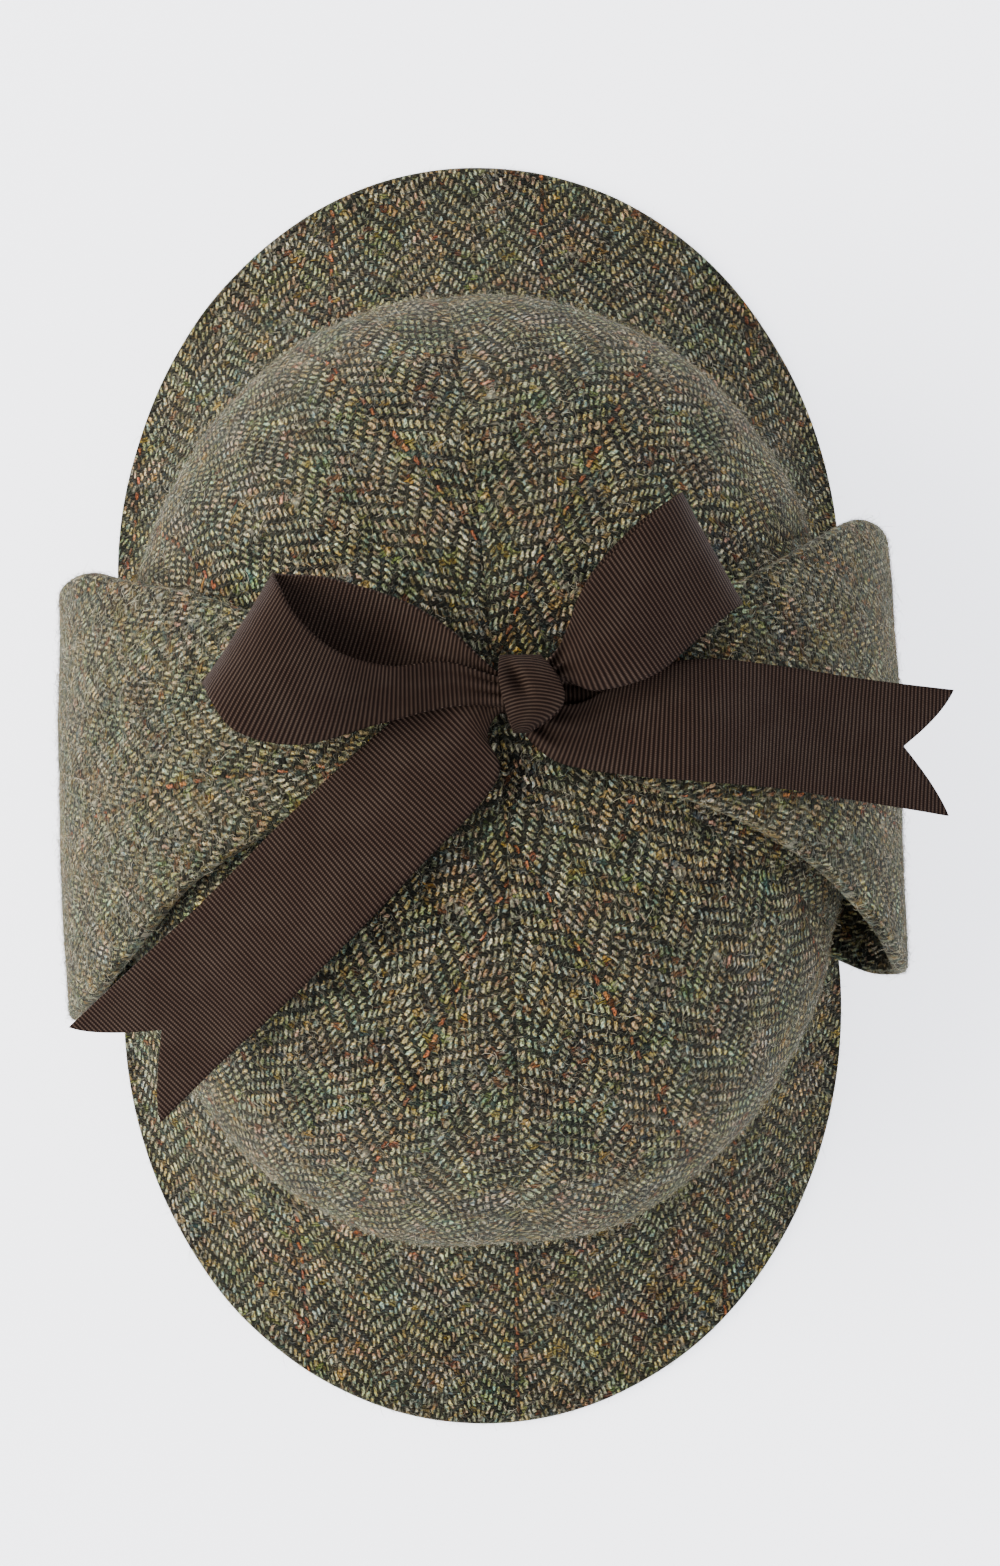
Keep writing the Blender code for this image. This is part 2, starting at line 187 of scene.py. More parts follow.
@dataclass(frozen=True)
class SoftNoise:
    """Soft noise, and the range that its middle values are spread over.

    Scale counts the noise's cells along one unit of its coordinates, and spread gives the values that
    come in and those that they turn into.
    """

    scale: float
    spread: Spread
    detail: float = 2.0
    roughness: float = 0.5
    distortion: float = 0.0

    def build(self, add: AddNode, place: Socket, dimensions: str = "2D") -> Socket:
        """Add the noise at some coordinates, and give its value once it is spread.

        Args:
            add: Adds a node to the material.
            place: The noise's coordinates.
            dimensions: How many of them count, 2D or 3D.

        Returns:
            The spread value.
        """
        inputs = {
            "Vector": place, "Scale": self.scale, "Detail": self.detail,
            "Roughness": self.roughness, "Distortion": self.distortion,
        }
        value = add("TexNoise", inputs, noise_dimensions=dimensions)
        return add("MapRange", [value, *self.spread])


@dataclass(frozen=True)
class HerringboneTweed:
    """Woollen 2/2 herringbone, woven from heather yarns and lightly milled.

    The real cloth has soft round yarns about a millimetre apart. Pale warp floats lie over a dark weft in
    columns eight ends wide, whose slant turns at each column, and a rust end with a mustard one beside it
    runs up the cloth every six columns. Milling leaves pale fibres lying over the weave, and where the
    hat's steep edges are rubbed most they felt together and hide it. On steep cloth this felt and the
    pale fibres are also a painted sheen of fibres seen edge-on.
    """

    end_pitch: float = 1.08 * MM
    pick_pitch: float = 1.08 * MM
    ends_in_column: int = 8
    ends_between_stripes: int = 48
    crimp: float = 0.5
    roundness: float = 0.75
    slant: float = 0.5
    # Painted highlight on a float's top, by its distance from the middle and its place along the float
    ridge: Spread = (0.0, 0.68, 1, 0)
    span: Spread = (-0.7, 0.4, 0, 1)
    overlap: Spread = (-0.1, 0.1, 0, 1)
    relief: float = 0.45 * MM
    relief_by_rim: Spread = (0.3, 0.9, 1, 0.2)
    grain_scale: float = 2400
    grain_height: float = 0.7
    roughness: float = 0.95
    specular: float = 0.1
    sheen: float = 0.05
    sheen_roughness: float = 0.5
    sheen_color: str = "#d8d2bc"
    # Cells to a metre, and reach: the cloth's drift, the yarns' wander, and their slubs
    wavers: tuple[tuple[float, float], ...] = ((50, 2.6 * MM), (430, 1.05 * MM), (1050, 0.45 * MM))

    dye: tuple[float, float, float] = (0.435, 0.44, 0.405)
    warp_colors: tuple[str, ...] = (
        "#8a754c", "#a1987b", "#7f8a5d", "#b0a884", "#90917a", "#70877f", "#a5996c", "#9e8549",
        "#8d8e76", "#b3ab90", "#7a8452", "#a4866a",
    )
    weft_colors: tuple[str, ...] = (
        "#262019", "#1b2426", "#2c2b1c", "#1f231e", "#33281b", "#1d2628", "#28291f", "#211d17",
    )
    # Each float's colour goes by its own number, and by patches a few yarns wide
    warp_patches: SoftNoise = SoftNoise(0.22, (0.25, 0.75, -0.25, 0.95))
    weft_patches: SoftNoise = SoftNoise(0.31, (0.25, 0.75, -0.25, 0.95))
    own_share: float = 0.3
    stripe_colors: tuple[str, ...] = ("#8f3d16", "#6c2d14", "#9c4a1a", "#644024")
    stripe_share: float = 0.85
    partner_colors: tuple[str, ...] = ("#b08c34", "#8f7c3a", "#6f6a45", "#bda04c")
    partner_share: float = 0.45
    fleck_colors: tuple[str, ...] = (
        "#a58226", "#727a38", "#8a4a20", "#3f5a52", "#b08c3c", "#5f6c30",
        "#7a3a20", "#46545c", "#a08248", "#36504a", "#8c5a34", "#808448",
    )
    fleck_scale: float = 0.58
    fleck_share: float = 0.15
    fleck_strengths: tuple[float, float] = (0.4, 0.5)

    # Light on the yarns, whose coordinates count ends and picks; a painted highlight tops each float, with
    # painted shade between the yarns
    mottle: SoftNoise = SoftNoise(0.9, (0.3, 0.7, 0.3, 1.7), detail=4, roughness=0.8)
    shade: SoftNoise = SoftNoise(0.16, (0.3, 0.7, 0.58, 1.42))
    # Painted shade between the yarns and a painted highlight on each float's top, as factors on the colour
    painted_highlight_and_gap_shade: tuple[float, float] = (0.09, 1.55)
    float_lights: tuple[float, float] = (0.5, 1.5)
    tint_scale: float = 0.09
    tint_reach: tuple[float, float, float] = (0.8, 0.3, 0.8)
    tint_base: tuple[float, float, float] = (0.6, 0.85, 0.62)
    fibres_across: float = 4.0
    fibre_twist: float = 1.6
    fibres_along: float = 1.7
    fibre_light: Spread = (0.33, 0.67, 0.2, 1.8)

    # Cells to a metre, width and strength of the two layers of fibres that lie flat
    fibre_layers: tuple[tuple[float, float, float], ...] = ((240, 0.013, 0.22), (380, 0.016, 0.16))
    fibre_shift: tuple[float, float] = (0.31, 0.17)
    fibre_color: str = "#b9b49c"
    brushed_and_sheen_gain: float = 1.4
    mist: SoftNoise = SoftNoise(38, (0.35, 0.7, 0.0, 0.09), detail=3)
    mist_color: str = "#4f4f3f"

    felt_colors: tuple[str, ...] = (
        "#7c5430", "#7c7c54", "#5a706a", "#8c8866", "#8c7038", "#566450", "#84866e", "#665c46",
    )
    felt_patches: SoftNoise = SoftNoise(120, (0.32, 0.68, 0, 1), detail=3)
    # Painted shade in the felt's hollows
    felt_painted_shade: SoftNoise = SoftNoise(
        520, (0.475, 0.645, 0.0, 0.78), detail=4, roughness=0.75, distortion=1.2
    )
    felt_cover: SoftNoise = SoftNoise(260, (0.38, 0.62, 0.1, 0.75))
    felt_by_rim: Spread = (0.4, 0.9, 0, 0.95)

    def build(self, name: str) -> Material:
        """Make the material, which follows each piece's cloth UV map in metres of flat cloth.

        Args:
            name: The material's name.

        Returns:
            The material.
        """
        material, add, shader = new_material(name)
        flat = self.wavering_cloth(add)
        across, along, _ = add("SeparateXYZ", [flat]).node.outputs
        cloth = {
            "flat": flat,
            "ends": add("Math DIVIDE", [across, self.end_pitch]),
            "picks": add("Math DIVIDE", [along, self.pick_pitch]),
        }
        for mark in ("rim", "wear"):
            cloth[mark] = add("Attribute", attribute_name=mark).node.outputs["Fac"]
        cloth.update(self.weave(add, cloth))
        color = self.yarn_colors(add, cloth)
        color = self.felt(add, cloth, color)
        color = self.flat_fibres(add, cloth, color)
        grain = {"Vector": flat, "Scale": self.grain_scale, "Detail": 2}
        grain = add("TexNoise", grain, noise_dimensions="2D")
        height = add("Math MULTIPLY_ADD", [grain, self.grain_height, cloth["height"]])
        strength = add("MapRange", [cloth["rim"], *self.relief_by_rim])
        fill_inputs(shader, {
            "Base Color": color,
            "Normal": add("Bump", {"Height": height, "Distance": self.relief, "Strength": strength}),
            "Roughness": self.roughness,
            "Specular IOR Level": self.specular,
            "Sheen Weight": self.sheen,
            "Sheen Roughness": self.sheen_roughness,
            "Sheen Tint": to_linear(self.sheen_color),
        })
        return material

    def wavering_cloth(self, add: AddNode) -> Socket:
        """Give the flat cloth's coordinates with the drift and the uneven thickness of hand-spun yarns.

        Args:
            add: Adds a node to the material.

        Returns:
            The coordinates, in metres.
        """
        flat = add("UVMap", uv_map="cloth")
        cloth = flat
        for scale, reach in self.wavers:
            source = add("TexNoise", {"Vector": flat, "Scale": scale}, noise_dimensions="2D").node
            about = add("VectorMath SUBTRACT", [source.outputs["Color"], (0.5, 0.5, 0.5)])
            cloth = add("VectorMath MULTIPLY_ADD", [about, (reach, reach, 0), cloth])
        return cloth

    def weave(self, add: AddNode, cloth: Sockets) -> Sockets:
        """Work out which yarn is on top, its height, which float it is, and where a painted highlight lies
        on its top.

        Args:
            add: Adds a node to the material.
            cloth: Sockets named ends and picks, the distances across and along the cloth in yarns.

        Returns:
            Sockets named warp_on_top, height, gleam, warp_float, weft_float, column and pick_index.
        """
        ends, picks = cloth["ends"], cloth["picks"]
        across = add("Math PINGPONG", [ends, self.ends_in_column])
        count = add("Math DIVIDE", [ends, self.ends_in_column])
        column = add("Math FLOOR", [count])
        flip = add("Math FLOORED_MODULO", [column, 2])
        offset = add("Math MULTIPLY", [flip, 2])
        end_index = add("Math FLOOR", [across])
        pick_index = add("Math FLOOR", [picks])

        step = add("Math ADD", [end_index, offset])
        warp_phase = add("Math SUBTRACT", [picks, step])
        weft_start = add("Math SUBTRACT", [pick_index, offset])
        weft_phase = add("Math SUBTRACT", [weft_start, across])
        heights, painted_highlights, floats = [], [], []
        for phase, middle, sideways in ((warp_phase, 1, across), (weft_phase, 2, picks)):
            turn = add("Math SUBTRACT", [phase, middle])
            angle = add("Math MULTIPLY", [turn, math.pi / 2])
            wave = add("Math COSINE", [angle])
            share = add("Math FRACT", [sideways])
            side = add("Math MULTIPLY_ADD", [share, 2, -1])
            square = add("Math MULTIPLY", [side, side])
            inside = add("Math SUBTRACT", [1, square], use_clamp=True)
            bulge = add("Math POWER", [inside, 0.5])
            rounded = add("Math MULTIPLY", [bulge, self.roundness])
            heights.append(add("Math MULTIPLY_ADD", [wave, self.crimp, rounded]))
            whole_turns = add("Math WRAP", [turn, -2, 2])
            slanted = add("Math MULTIPLY_ADD", [whole_turns, self.slant, side])
            slanted_square = add("Math MULTIPLY", [slanted, slanted])
            ridge = add("MapRange", [slanted_square, *self.ridge])
            span = add("MapRange", [wave, *self.span], interpolation_type="SMOOTHSTEP")
            painted_highlights.append(add("Math MULTIPLY", [ridge, span]))
            quarter = add("Math DIVIDE", [phase, 4])
            floats.append(add("Math FLOOR", [quarter]))

        lead = add("Math SUBTRACT", heights)
        on_top = add("MapRange", [lead, *self.overlap], interpolation_type="SMOOTHSTEP")
        return {
            "warp_on_top": on_top,
            "height": add("Math MAXIMUM", heights),
            "gleam": add("Mix", {0: on_top, 2: painted_highlights[1], 3: painted_highlights[0]}, data_type="FLOAT"),
            "warp_float": floats[0],
            "weft_float": floats[1],
            "column": column,
            "pick_index": pick_index,
        }

    def yarn_colors(self, add: AddNode, cloth: Sockets) -> Socket:
        """Colour each float as a heather yarn, with flecks along it and dark between the yarns.

        Args:
            add: Adds a node to the material.
            cloth: The cloth's sockets by name, with those of its weave.

        Returns:
            The colour of the bare weave.
        """
        end_number = add("Math FLOOR", [cloth["ends"]])
        warp_key = add("CombineXYZ", [end_number, cloth["warp_float"], 0])
        warp_pick = add("TexWhiteNoise", [warp_key], noise_dimensions="2D")
        weft_key = add("CombineXYZ", [cloth["pick_index"], cloth["weft_float"], cloth["column"]])
        weft_pick = add("TexWhiteNoise", [weft_key], noise_dimensions="3D")
        yarn_place = add("CombineXYZ", [cloth["ends"], cloth["picks"], 0])
        yarns = []
        for own, codes, patches in (
            (warp_pick, self.warp_colors, self.warp_patches),
            (weft_pick, self.weft_colors, self.weft_patches),
        ):
            spread = patches.build(add, yarn_place)
            place = add("Math MULTIPLY_ADD", [own, self.own_share, spread])
            yarns.append(add("ValToRGB", [place], stops=even_stops(codes)))
        warp, weft = yarns
        place = add("Math FLOORED_MODULO", [end_number, self.ends_between_stripes])
        stripes = ((self.stripe_colors, self.stripe_share), (self.partner_colors, self.partner_share))
        for end, (codes, share) in enumerate(stripes):
            here = add("Math COMPARE", [place, end, 0.5])
            strong = add("Math MULTIPLY", [here, share])
            stripe = add("ValToRGB", [warp_pick], interpolation="CONSTANT", stops=even_stops(codes))
            warp = add("Mix", {0: strong, 6: warp, 7: stripe}, data_type="RGBA")
        top = add("Mix", {0: cloth["warp_on_top"], 6: weft, 7: warp}, data_type="RGBA")

        cells = {"Vector": yarn_place, "Scale": self.fleck_scale, "Randomness": 1.0}
        cells = add("TexVoronoi", cells, voronoi_dimensions="2D").node.outputs["Color"]
        chance, hue, brightness = add("SeparateColor", [cells]).node.outputs
        fleck = add("ValToRGB", [hue], interpolation="CONSTANT", stops=even_stops(self.fleck_colors))
        here = add("Math LESS_THAN", [chance, self.fleck_share])
        strength = add("MapRange", [cloth["warp_on_top"], 0, 1, *self.fleck_strengths])
        share = add("Math MULTIPLY", [here, strength])
        top = add("Mix", {0: share, 6: top, 7: fleck}, data_type="RGBA")

        # Painted highlight on each float's top with painted shade between the yarns, times random mottle,
        # float brightness, patches and fibre streaks
        light = self.mottle.build(add, yarn_place)
        for other in (
            add("MapRange", [cloth["gleam"], 0, 1, *self.painted_highlight_and_gap_shade]),
            add("MapRange", [brightness, 0, 1, *self.float_lights]),
            self.shade.build(add, yarn_place),
            self.twisted_fibres(add, cloth),
        ):
            light = add("Math MULTIPLY", [light, other])
        drift = {"Vector": yarn_place, "Scale": self.tint_scale, "Detail": 1}
        drift = add("TexNoise", drift, noise_dimensions="2D").node.outputs["Color"]
        tint = add("VectorMath MULTIPLY_ADD", [drift, self.tint_reach, self.tint_base])
        dyed = add("VectorMath MULTIPLY", [top, self.dye])
        dyed = add("VectorMath MULTIPLY", [dyed, tint])
        return add("VectorMath SCALE", {0: dyed, "Scale": light})

    def twisted_fibres(self, add: AddNode, cloth: Sockets) -> Socket:
        """Streak each yarn with its twisted fibres, about a quarter of a millimetre apart.

        Args:
            add: Adds a node to the material.
            cloth: The cloth's sockets by name, with those of its weave.

        Returns:
            The fibres' light, about 1.
        """
        fields = []
        ends, picks = cloth["ends"], cloth["picks"]
        for along, across in ((picks, ends), (ends, picks)):
            slant = add("Math MULTIPLY", [along, self.fibre_twist])
            side = add("Math MULTIPLY_ADD", [across, self.fibres_across, slant])
            run = add("Math MULTIPLY", [along, self.fibres_along])
            place = {"Vector": add("CombineXYZ", [side, run, 0]), "Scale": 1.0, "Detail": 1}
            fields.append(add("TexNoise", place, noise_dimensions="2D"))
        streak = add("Mix", {0: cloth["warp_on_top"], 2: fields[1], 3: fields[0]}, data_type="FLOAT")
        return add("MapRange", [streak, *self.fibre_light])

    def flat_fibres(self, add: AddNode, cloth: Sockets, color: Socket) -> Socket:
        """Lay pale curling fibres and a thin haze over the yarns; the fibres are stronger on steep cloth,
        as a painted sheen.

        The real fibres are 0.03 mm thick. They are drawn about 0.1 mm wide so that they show.

        Args:
            add: Adds a node to the material.
            cloth: The cloth's sockets by name.
            color: Colour of the cloth below.

        Returns:
            The colour of the cloth with its fibres.
        """
        shift_x, shift_y = self.fibre_shift
        for number, (scale, width, strength) in enumerate(self.fibre_layers):
            shifted = add("VectorMath ADD", [cloth["flat"], (shift_x * number, shift_y, 0)])
            curls = {"Vector": shifted, "Scale": scale, "Detail": 1.5, "Distortion": 0.9}
            curls = add("TexNoise", curls, noise_dimensions="2D")
            away = add("Math SUBTRACT", [curls, 0.5])
            distance = add("Math ABSOLUTE", [away])
            # Pale fibres stronger on steep cloth: wear, and a painted sheen of fibres seen edge-on
            brushed_and_sheen = add("MapRange", [cloth["wear"], 0, 1, strength, self.brushed_and_sheen_gain * strength])
            line = add("MapRange", [distance, 0, width, brushed_and_sheen, 0])
            color = add("Mix", {0: line, 6: color, 7: to_linear(self.fibre_color)}, data_type="RGBA")
        haze = self.mist.build(add, cloth["flat"])
        return add("Mix", {0: haze, 6: color, 7: to_linear(self.mist_color)}, data_type="RGBA")

    def felt(self, add: AddNode, cloth: Sockets, color: Socket) -> Socket:
        """Cover worn and steep cloth with heather wool in soft patches a few millimetres wide, with painted
        shade in its hollows; on steep cloth it also paints the sheen of fibres seen edge-on.

        Args:
            add: Adds a node to the material.
            cloth: The cloth's sockets by name. Its turned rim is felted all over.
            color: Colour of the bare weave.

        Returns:
            The colour of the cloth with its felt.
        """
        place = add("TexCoord").node.outputs["Object"]
        patches = self.felt_patches.build(add, place, "3D")
        wool = add("ValToRGB", [patches], stops=even_stops(self.felt_colors))
        # Painted shade in the felt's hollows
        light = self.felt_painted_shade.build(add, place, "3D")
        shaded = add("VectorMath SCALE", {0: wool, "Scale": light})
        uneven = self.felt_cover.build(add, place, "3D")
        # Felt by wear, and by steepness as a painted sheen of fibres seen edge-on
        brushed_and_sheen = add("Math MULTIPLY", [cloth["wear"], uneven])
        rim_cover = add("MapRange", [cloth["rim"], *self.felt_by_rim])
        cover = add("Math MAXIMUM", [brushed_and_sheen, rim_cover])
        return add("Mix", {0: cover, 6: color, 7: shaded}, data_type="RGBA")


@dataclass(frozen=True)
class WoolFibre:
    """Loose wool fibres that milling raised from the yarns: matt, and of many colours."""

    colors: tuple[str, ...] = (
        "#6c4426", "#5a482e", "#7a6436", "#8e8460", "#bcb498", "#74745a", "#565e40", "#454c3c",
        "#3c463f", "#4c5c5c", "#848576", "#c4bda4",
    )
    roughness: float = 0.75
    specular: float = 0.3

    def build(self, name: str) -> Material:
        """Make the material, which gives each strand a colour by its number.

        Args:
            name: The material's name.

        Returns:
            The material.
        """
        material, add, shader = new_material(name)
        strand = add("Attribute", attribute_name="strand").node.outputs["Fac"]
        color = add("ValToRGB", [strand], interpolation="CONSTANT", stops=even_stops(self.colors))
        values = {"Base Color": color, "Roughness": self.roughness, "Specular IOR Level": self.specular}
        fill_inputs(shader, values)
        return material


@dataclass(frozen=True)
class Grosgrain:
    """Dark brown grosgrain ribbon: fine warp threads over thick weft ribs.

    The real ribbon is a matt rayon and cotton cloth with ribs 0.95 mm apart that catch the light along
    their tops. Its warp threads are about 0.25 mm apart, too fine to show, and are drawn 0.5 mm apart.
    """

    rib_pitch: float = 0.95 * MM
    rib_sharpness: float = 1.5
    thread_pitch: float = 0.5 * MM
    thread_groove: float = 0.5
    relief: float = 0.28 * MM
    roughness: float = 0.75
    specular: float = 0.04
    # Place between a rib's groove and its top, and colour there: painted shade in the groove, painted
    # highlight along the top
    rib_painted_light_colors: tuple[tuple[float, str], ...] = ((0.0, "#140d0b"), (0.4, "#30221b"), (1.0, "#50433a"))
    fade: SoftNoise = SoftNoise(110, (0.4, 0.75, 0, 0.2), detail=4)
    fade_color: str = "#655a4e"

    def build(self, name: str) -> Material:
        """Make the material, which follows each ribbon's cloth UV map in metres of flat ribbon.

        Args:
            name: The material's name.

        Returns:
            The material.
        """
        material, add, shader = new_material(name)
        cloth = add("UVMap", uv_map="cloth")
        across, along, _ = add("SeparateXYZ", [cloth]).node.outputs
        rib_angle = add("Math MULTIPLY", [along, 2 * math.pi / self.rib_pitch])
        rib_wave = add("Math COSINE", [rib_angle])
        rib_top = add("MapRange", [rib_wave, -1, 1, 0, 1])
        rib = add("Math POWER", [rib_top, self.rib_sharpness])
        rib_count = add("Math DIVIDE", [along, self.rib_pitch])
        rib_number = add("Math ROUND", [rib_count])
        shift = add("Math MULTIPLY", [rib_number, math.pi])
        threads = 2 * math.pi / self.thread_pitch
        thread_angle = add("Math MULTIPLY_ADD", [across, threads, shift])
        thread_wave = add("Math COSINE", [thread_angle])
        thread = add("MapRange", [thread_wave, -1, 1, self.thread_groove, 1])
        height = add("Math MULTIPLY", [rib_top, thread])
        # Painted highlight along the rib tops, dotted by the threads, with painted shade in the grooves
        lit = add("Math MULTIPLY", [rib, thread])
        stops = [(place, to_linear(code)) for place, code in self.rib_painted_light_colors]
        color = add("ValToRGB", [lit], stops=stops)
        faded = add("Math MULTIPLY", [self.fade.build(add, cloth), lit])
        color = add("Mix", {0: faded, 6: color, 7: to_linear(self.fade_color)}, data_type="RGBA")
        fill_inputs(shader, {
            "Base Color": color,
            "Normal": add("Bump", {"Height": height, "Distance": self.relief, "Strength": 1.0}),
            "Roughness": self.roughness,
            "Specular IOR Level": self.specular,
        })
        return material


@dataclass(frozen=True)
class StudioPaper:
    """Seamless white paper on a light table, matt and even."""

    color: str = "#fbfbfd"
    roughness: float = 0.9
    glow_color: str = "#f4f6ff"
    glow: float = 2.4

    def build(self, name: str) -> Material:
        """Make the material.

        Args:
            name: The material's name.

        Returns:
            The material.
        """
        material, _, shader = new_material(name)
        fill_inputs(shader, {
            "Base Color": to_linear(self.color),
            "Roughness": self.roughness,
            "Emission Color": to_linear(self.glow_color),
            "Emission Strength": self.glow,
        })
        return material


def smooth_row(rows: Sequence[Sequence[float]], share: float) -> list[float]:
    """Read a table between its rows on a smooth curve.

    Args:
        rows: The table.
        share: Place in the table, from 0 at its first row to 1 at its last.

    Returns:
        One value for each of the table's columns.
    """
    place = min(max(share, 0.0), 1.0) * (len(rows) - 1)
    index = min(int(place), len(rows) - 2)
    step = place - index
    before = rows[max(index - 1, 0)]
    start = rows[index]
    end = rows[index + 1]
    after = rows[min(index + 2, len(rows) - 1)]
    values = []
    for p, q, r, s in zip(before, start, end, after):
        slope_in = (r - p) / 2
        slope_out = (s - q) / 2
        cubic = 2 * (q - r) + slope_in + slope_out
        square = 3 * (r - q) - 2 * slope_in - slope_out
        values.append(((cubic * step + square) * step + slope_in) * step + q)
    return values


def ease(share: float) -> float:
    """Turn a share from 0 to 1 into one that starts and ends gently."""
    share = min(max(share, 0.0), 1.0)
    return share * share * (3 - 2 * share)


@dataclass(frozen=True)
class CrownShape:
    """Outer form of the crown, which the gores, the peaks and the flaps all follow."""

    half_width: float = 0.084
    half_length: float = 0.1085
    squareness: float = 2.2
    fullness: float = 0.91
    height: float = 0.131
    band_height: float = 0.031
    band_reach: float = 0.962
    bulge_height: float = 0.062
    bulge_level: float = 0.2
    apex_lean_x: float = 0.004
    apex_lean_y: float = 0.009
    apex_level: float = 0.998
    normal_step: float = 0.004

    def profile(self, level: float) -> tuple[float, float]:
        """Give the share of the full plan outline, and the height, from the band at 0 to the apex at 1.

        Args:
            level: Level on the crown, from the band at 0 to the apex at 1.

        Returns:
            The share of the full plan outline, and the height in metres.
        """
        if level < self.bulge_level:
            rise = level / self.bulge_level
            flare = (1 - self.band_reach) * (1 + math.cos(math.pi * rise)) / 2
            return 1 - flare, self.band_height + (self.bulge_height - self.band_height) * rise
        turn = math.pi / 2 * (level - self.bulge_level) / (1 - self.bulge_level)
        height = self.bulge_height + (self.height - self.bulge_height) * math.sin(turn)
        return math.cos(turn) ** self.fullness, height

    def point(self, angle: float, level: float) -> Vector:
        """Give the point of the outer face at an angle from +X and a level.

        Args:
            angle: Angle from +X, in radians.
            level: Level on the crown, from the band at 0 to the apex at 1.

        Returns:
            The point, in the hat's own frame.
        """
        reach, height = self.profile(level)
        across = (abs(math.cos(angle)) / self.half_width) ** self.squareness
        along = (abs(math.sin(angle)) / self.half_length) ** self.squareness
        radius = reach * (across + along) ** (-1 / self.squareness)
        lean = ((height - self.band_height) / (self.height - self.band_height)) ** 2
        return Vector((
            radius * math.cos(angle) + self.apex_lean_x * lean,
            radius * math.sin(angle) + self.apex_lean_y * lean,
            height,
        ))

    def normal(self, angle: float, level: float) -> Vector:
        """Give the outward direction of the outer face.

        Args:
            angle: Angle from +X, in radians.
            level: Level on the crown, from the band at 0 to the apex at 1.

        Returns:
            A vector of length 1.
        """
        step = self.normal_step
        around = self.point(angle + step, level) - self.point(angle - step, level)
        upward = self.point(angle, min(level + step, 1.0)) - self.point(angle, level - step)
        return around.cross(upward).normalized()

    def side_angle(self, level: float, along: float, side: int) -> float:
        """Give the angle of the point that lies a distance along the hat from the middle of a level.

        Args:
            level: Level on the crown, from the band at 0 to the apex at 1.
            along: Distance along the hat, in metres.
            side: Sign of the side along X.

        Returns:
            The angle from +X, in radians.
        """
        reach = self.profile(level)[0]
        share = min(abs(along) / (self.half_length * reach), 1)
        across = self.half_width * reach * (1 - share ** self.squareness) ** (1 / self.squareness)
        return math.atan2(along, side * across)


CROWN = CrownShape()


def path_lengths(points: Sequence[Vector]) -> list[float]:
    """Give the length of a path up to each of its points.

    Args:
        points: The path's points.

    Returns:
        One length for each point.
    """
    lengths = [0.0]
    for start, end in zip(points, points[1:]):
        lengths.append(lengths[-1] + (end - start).length)
    return lengths


@contextmanager
def edited(mesh: bpy.types.Mesh) -> Iterator[bmesh.types.BMesh]:
    """Open a mesh for editing, and write it back at the end.

    Args:
        mesh: The mesh, which may be empty.

    Yields:
        The mesh as it is edited.
    """
    bm = bmesh.new()
    bm.from_mesh(mesh)
    yield bm
    bm.to_mesh(mesh)
    bm.free()


def show(name: str, data: bpy.types.ID) -> Object:
    """Put a mesh, light or camera into the scene as an object.

    Args:
        name: The object's name.
        data: The mesh, light or camera.

    Returns:
        The object.
    """
    thing = bpy.data.objects.new(name, data)
    bpy.context.scene.collection.objects.link(thing)
    return thing


def cloth_panel(name: str, columns: int, rows: int, place: Place, flat: Flat) -> Object:
    """Make an open sheet of cloth from a grid, with its flat cloth's coordinates as a UV map.

    Args:
        name: The object's name.
        columns: Faces across the sheet.
        rows: Faces along the sheet.
        place: Gives a point in the hat's own frame from shares across and along.
        flat: Gives that point's place on the flat cloth, in metres.

    Returns:
        The object, in the row frame.
    """
    mesh = bpy.data.meshes.new(name)
    with edited(mesh) as bm:
        cloth = bm.loops.layers.uv.new("cloth")
        bmesh.ops.create_grid(bm, x_segments=columns, y_segments=rows, size=1)
        shares = [((vert.co.x + 1) / 2, (vert.co.y + 1) / 2) for vert in bm.verts]
        flats = [flat(*share) for share in shares]
        for vert, share in zip(bm.verts, shares):
            vert.co = place(*share)
        for face in bm.faces:
            face.smooth = True
            for loop in face.loops:
                loop[cloth].uv = flats[loop.vert.index]
        bmesh.ops.translate(bm, vec=HAT_PLACE, verts=bm.verts)
    return show(name, mesh)


def soften(panel: Object, lumps: Lumps) -> None:
    """Raise and sink a sheet along its normals in soft uneven lumps, as handled cloth lies.

    Args:
        panel: The sheet.
        lumps: Width of the lumps and their depth, both in metres, for each size of lump.
    """
    with edited(panel.data) as bm:
        bm.normal_update()
        for vert in bm.verts:
            vert.co += vert.normal * sum(depth * noise.noise(vert.co / width) for width, depth in lumps)


def thicken(panel: Object, thickness: float, offset: float, rounding: int = 1) -> None:
    """Give a sheet its wall and round its rims, and keep the result as the object's mesh.

    Args:
        panel: The sheet.
        thickness: The wall's thickness.
        offset: -1 keeps the sheet as the outer face, and 0 as the middle of the wall.
        rounding: Levels of subdivision, which round the rims.
    """
    wall = panel.modifiers.new("wall", "SOLIDIFY")
    wall.thickness = thickness
    wall.offset = offset
    wall.use_quality_normals = True
    if rounding:
        round_off = panel.modifiers.new("rounding", "SUBSURF")
        round_off.levels = round_off.render_levels = rounding
        round_off.uv_smooth = "NONE"
    keep_modified(panel)


def keep_modified(thing: Object) -> None:
    """Make what an object's modifiers give its own mesh.

    Args:
        thing: The object.
    """
    depsgraph = bpy.context.evaluated_depsgraph_get()
    mesh = bpy.data.meshes.new_from_object(thing.evaluated_get(depsgraph))
    old = thing.data
    thing.modifiers.clear()
    mesh.name = thing.name
    thing.data = mesh
    bpy.data.meshes.remove(old)


def settle_on_table(thing: Object) -> None:
    """Flatten the part of a mesh that would reach below the surface that the hat stands on.

    Args:
        thing: The object.
    """
    with edited(thing.data) as bm:
        for vert in bm.verts:
            vert.co.z = max(vert.co.z, 0.0)


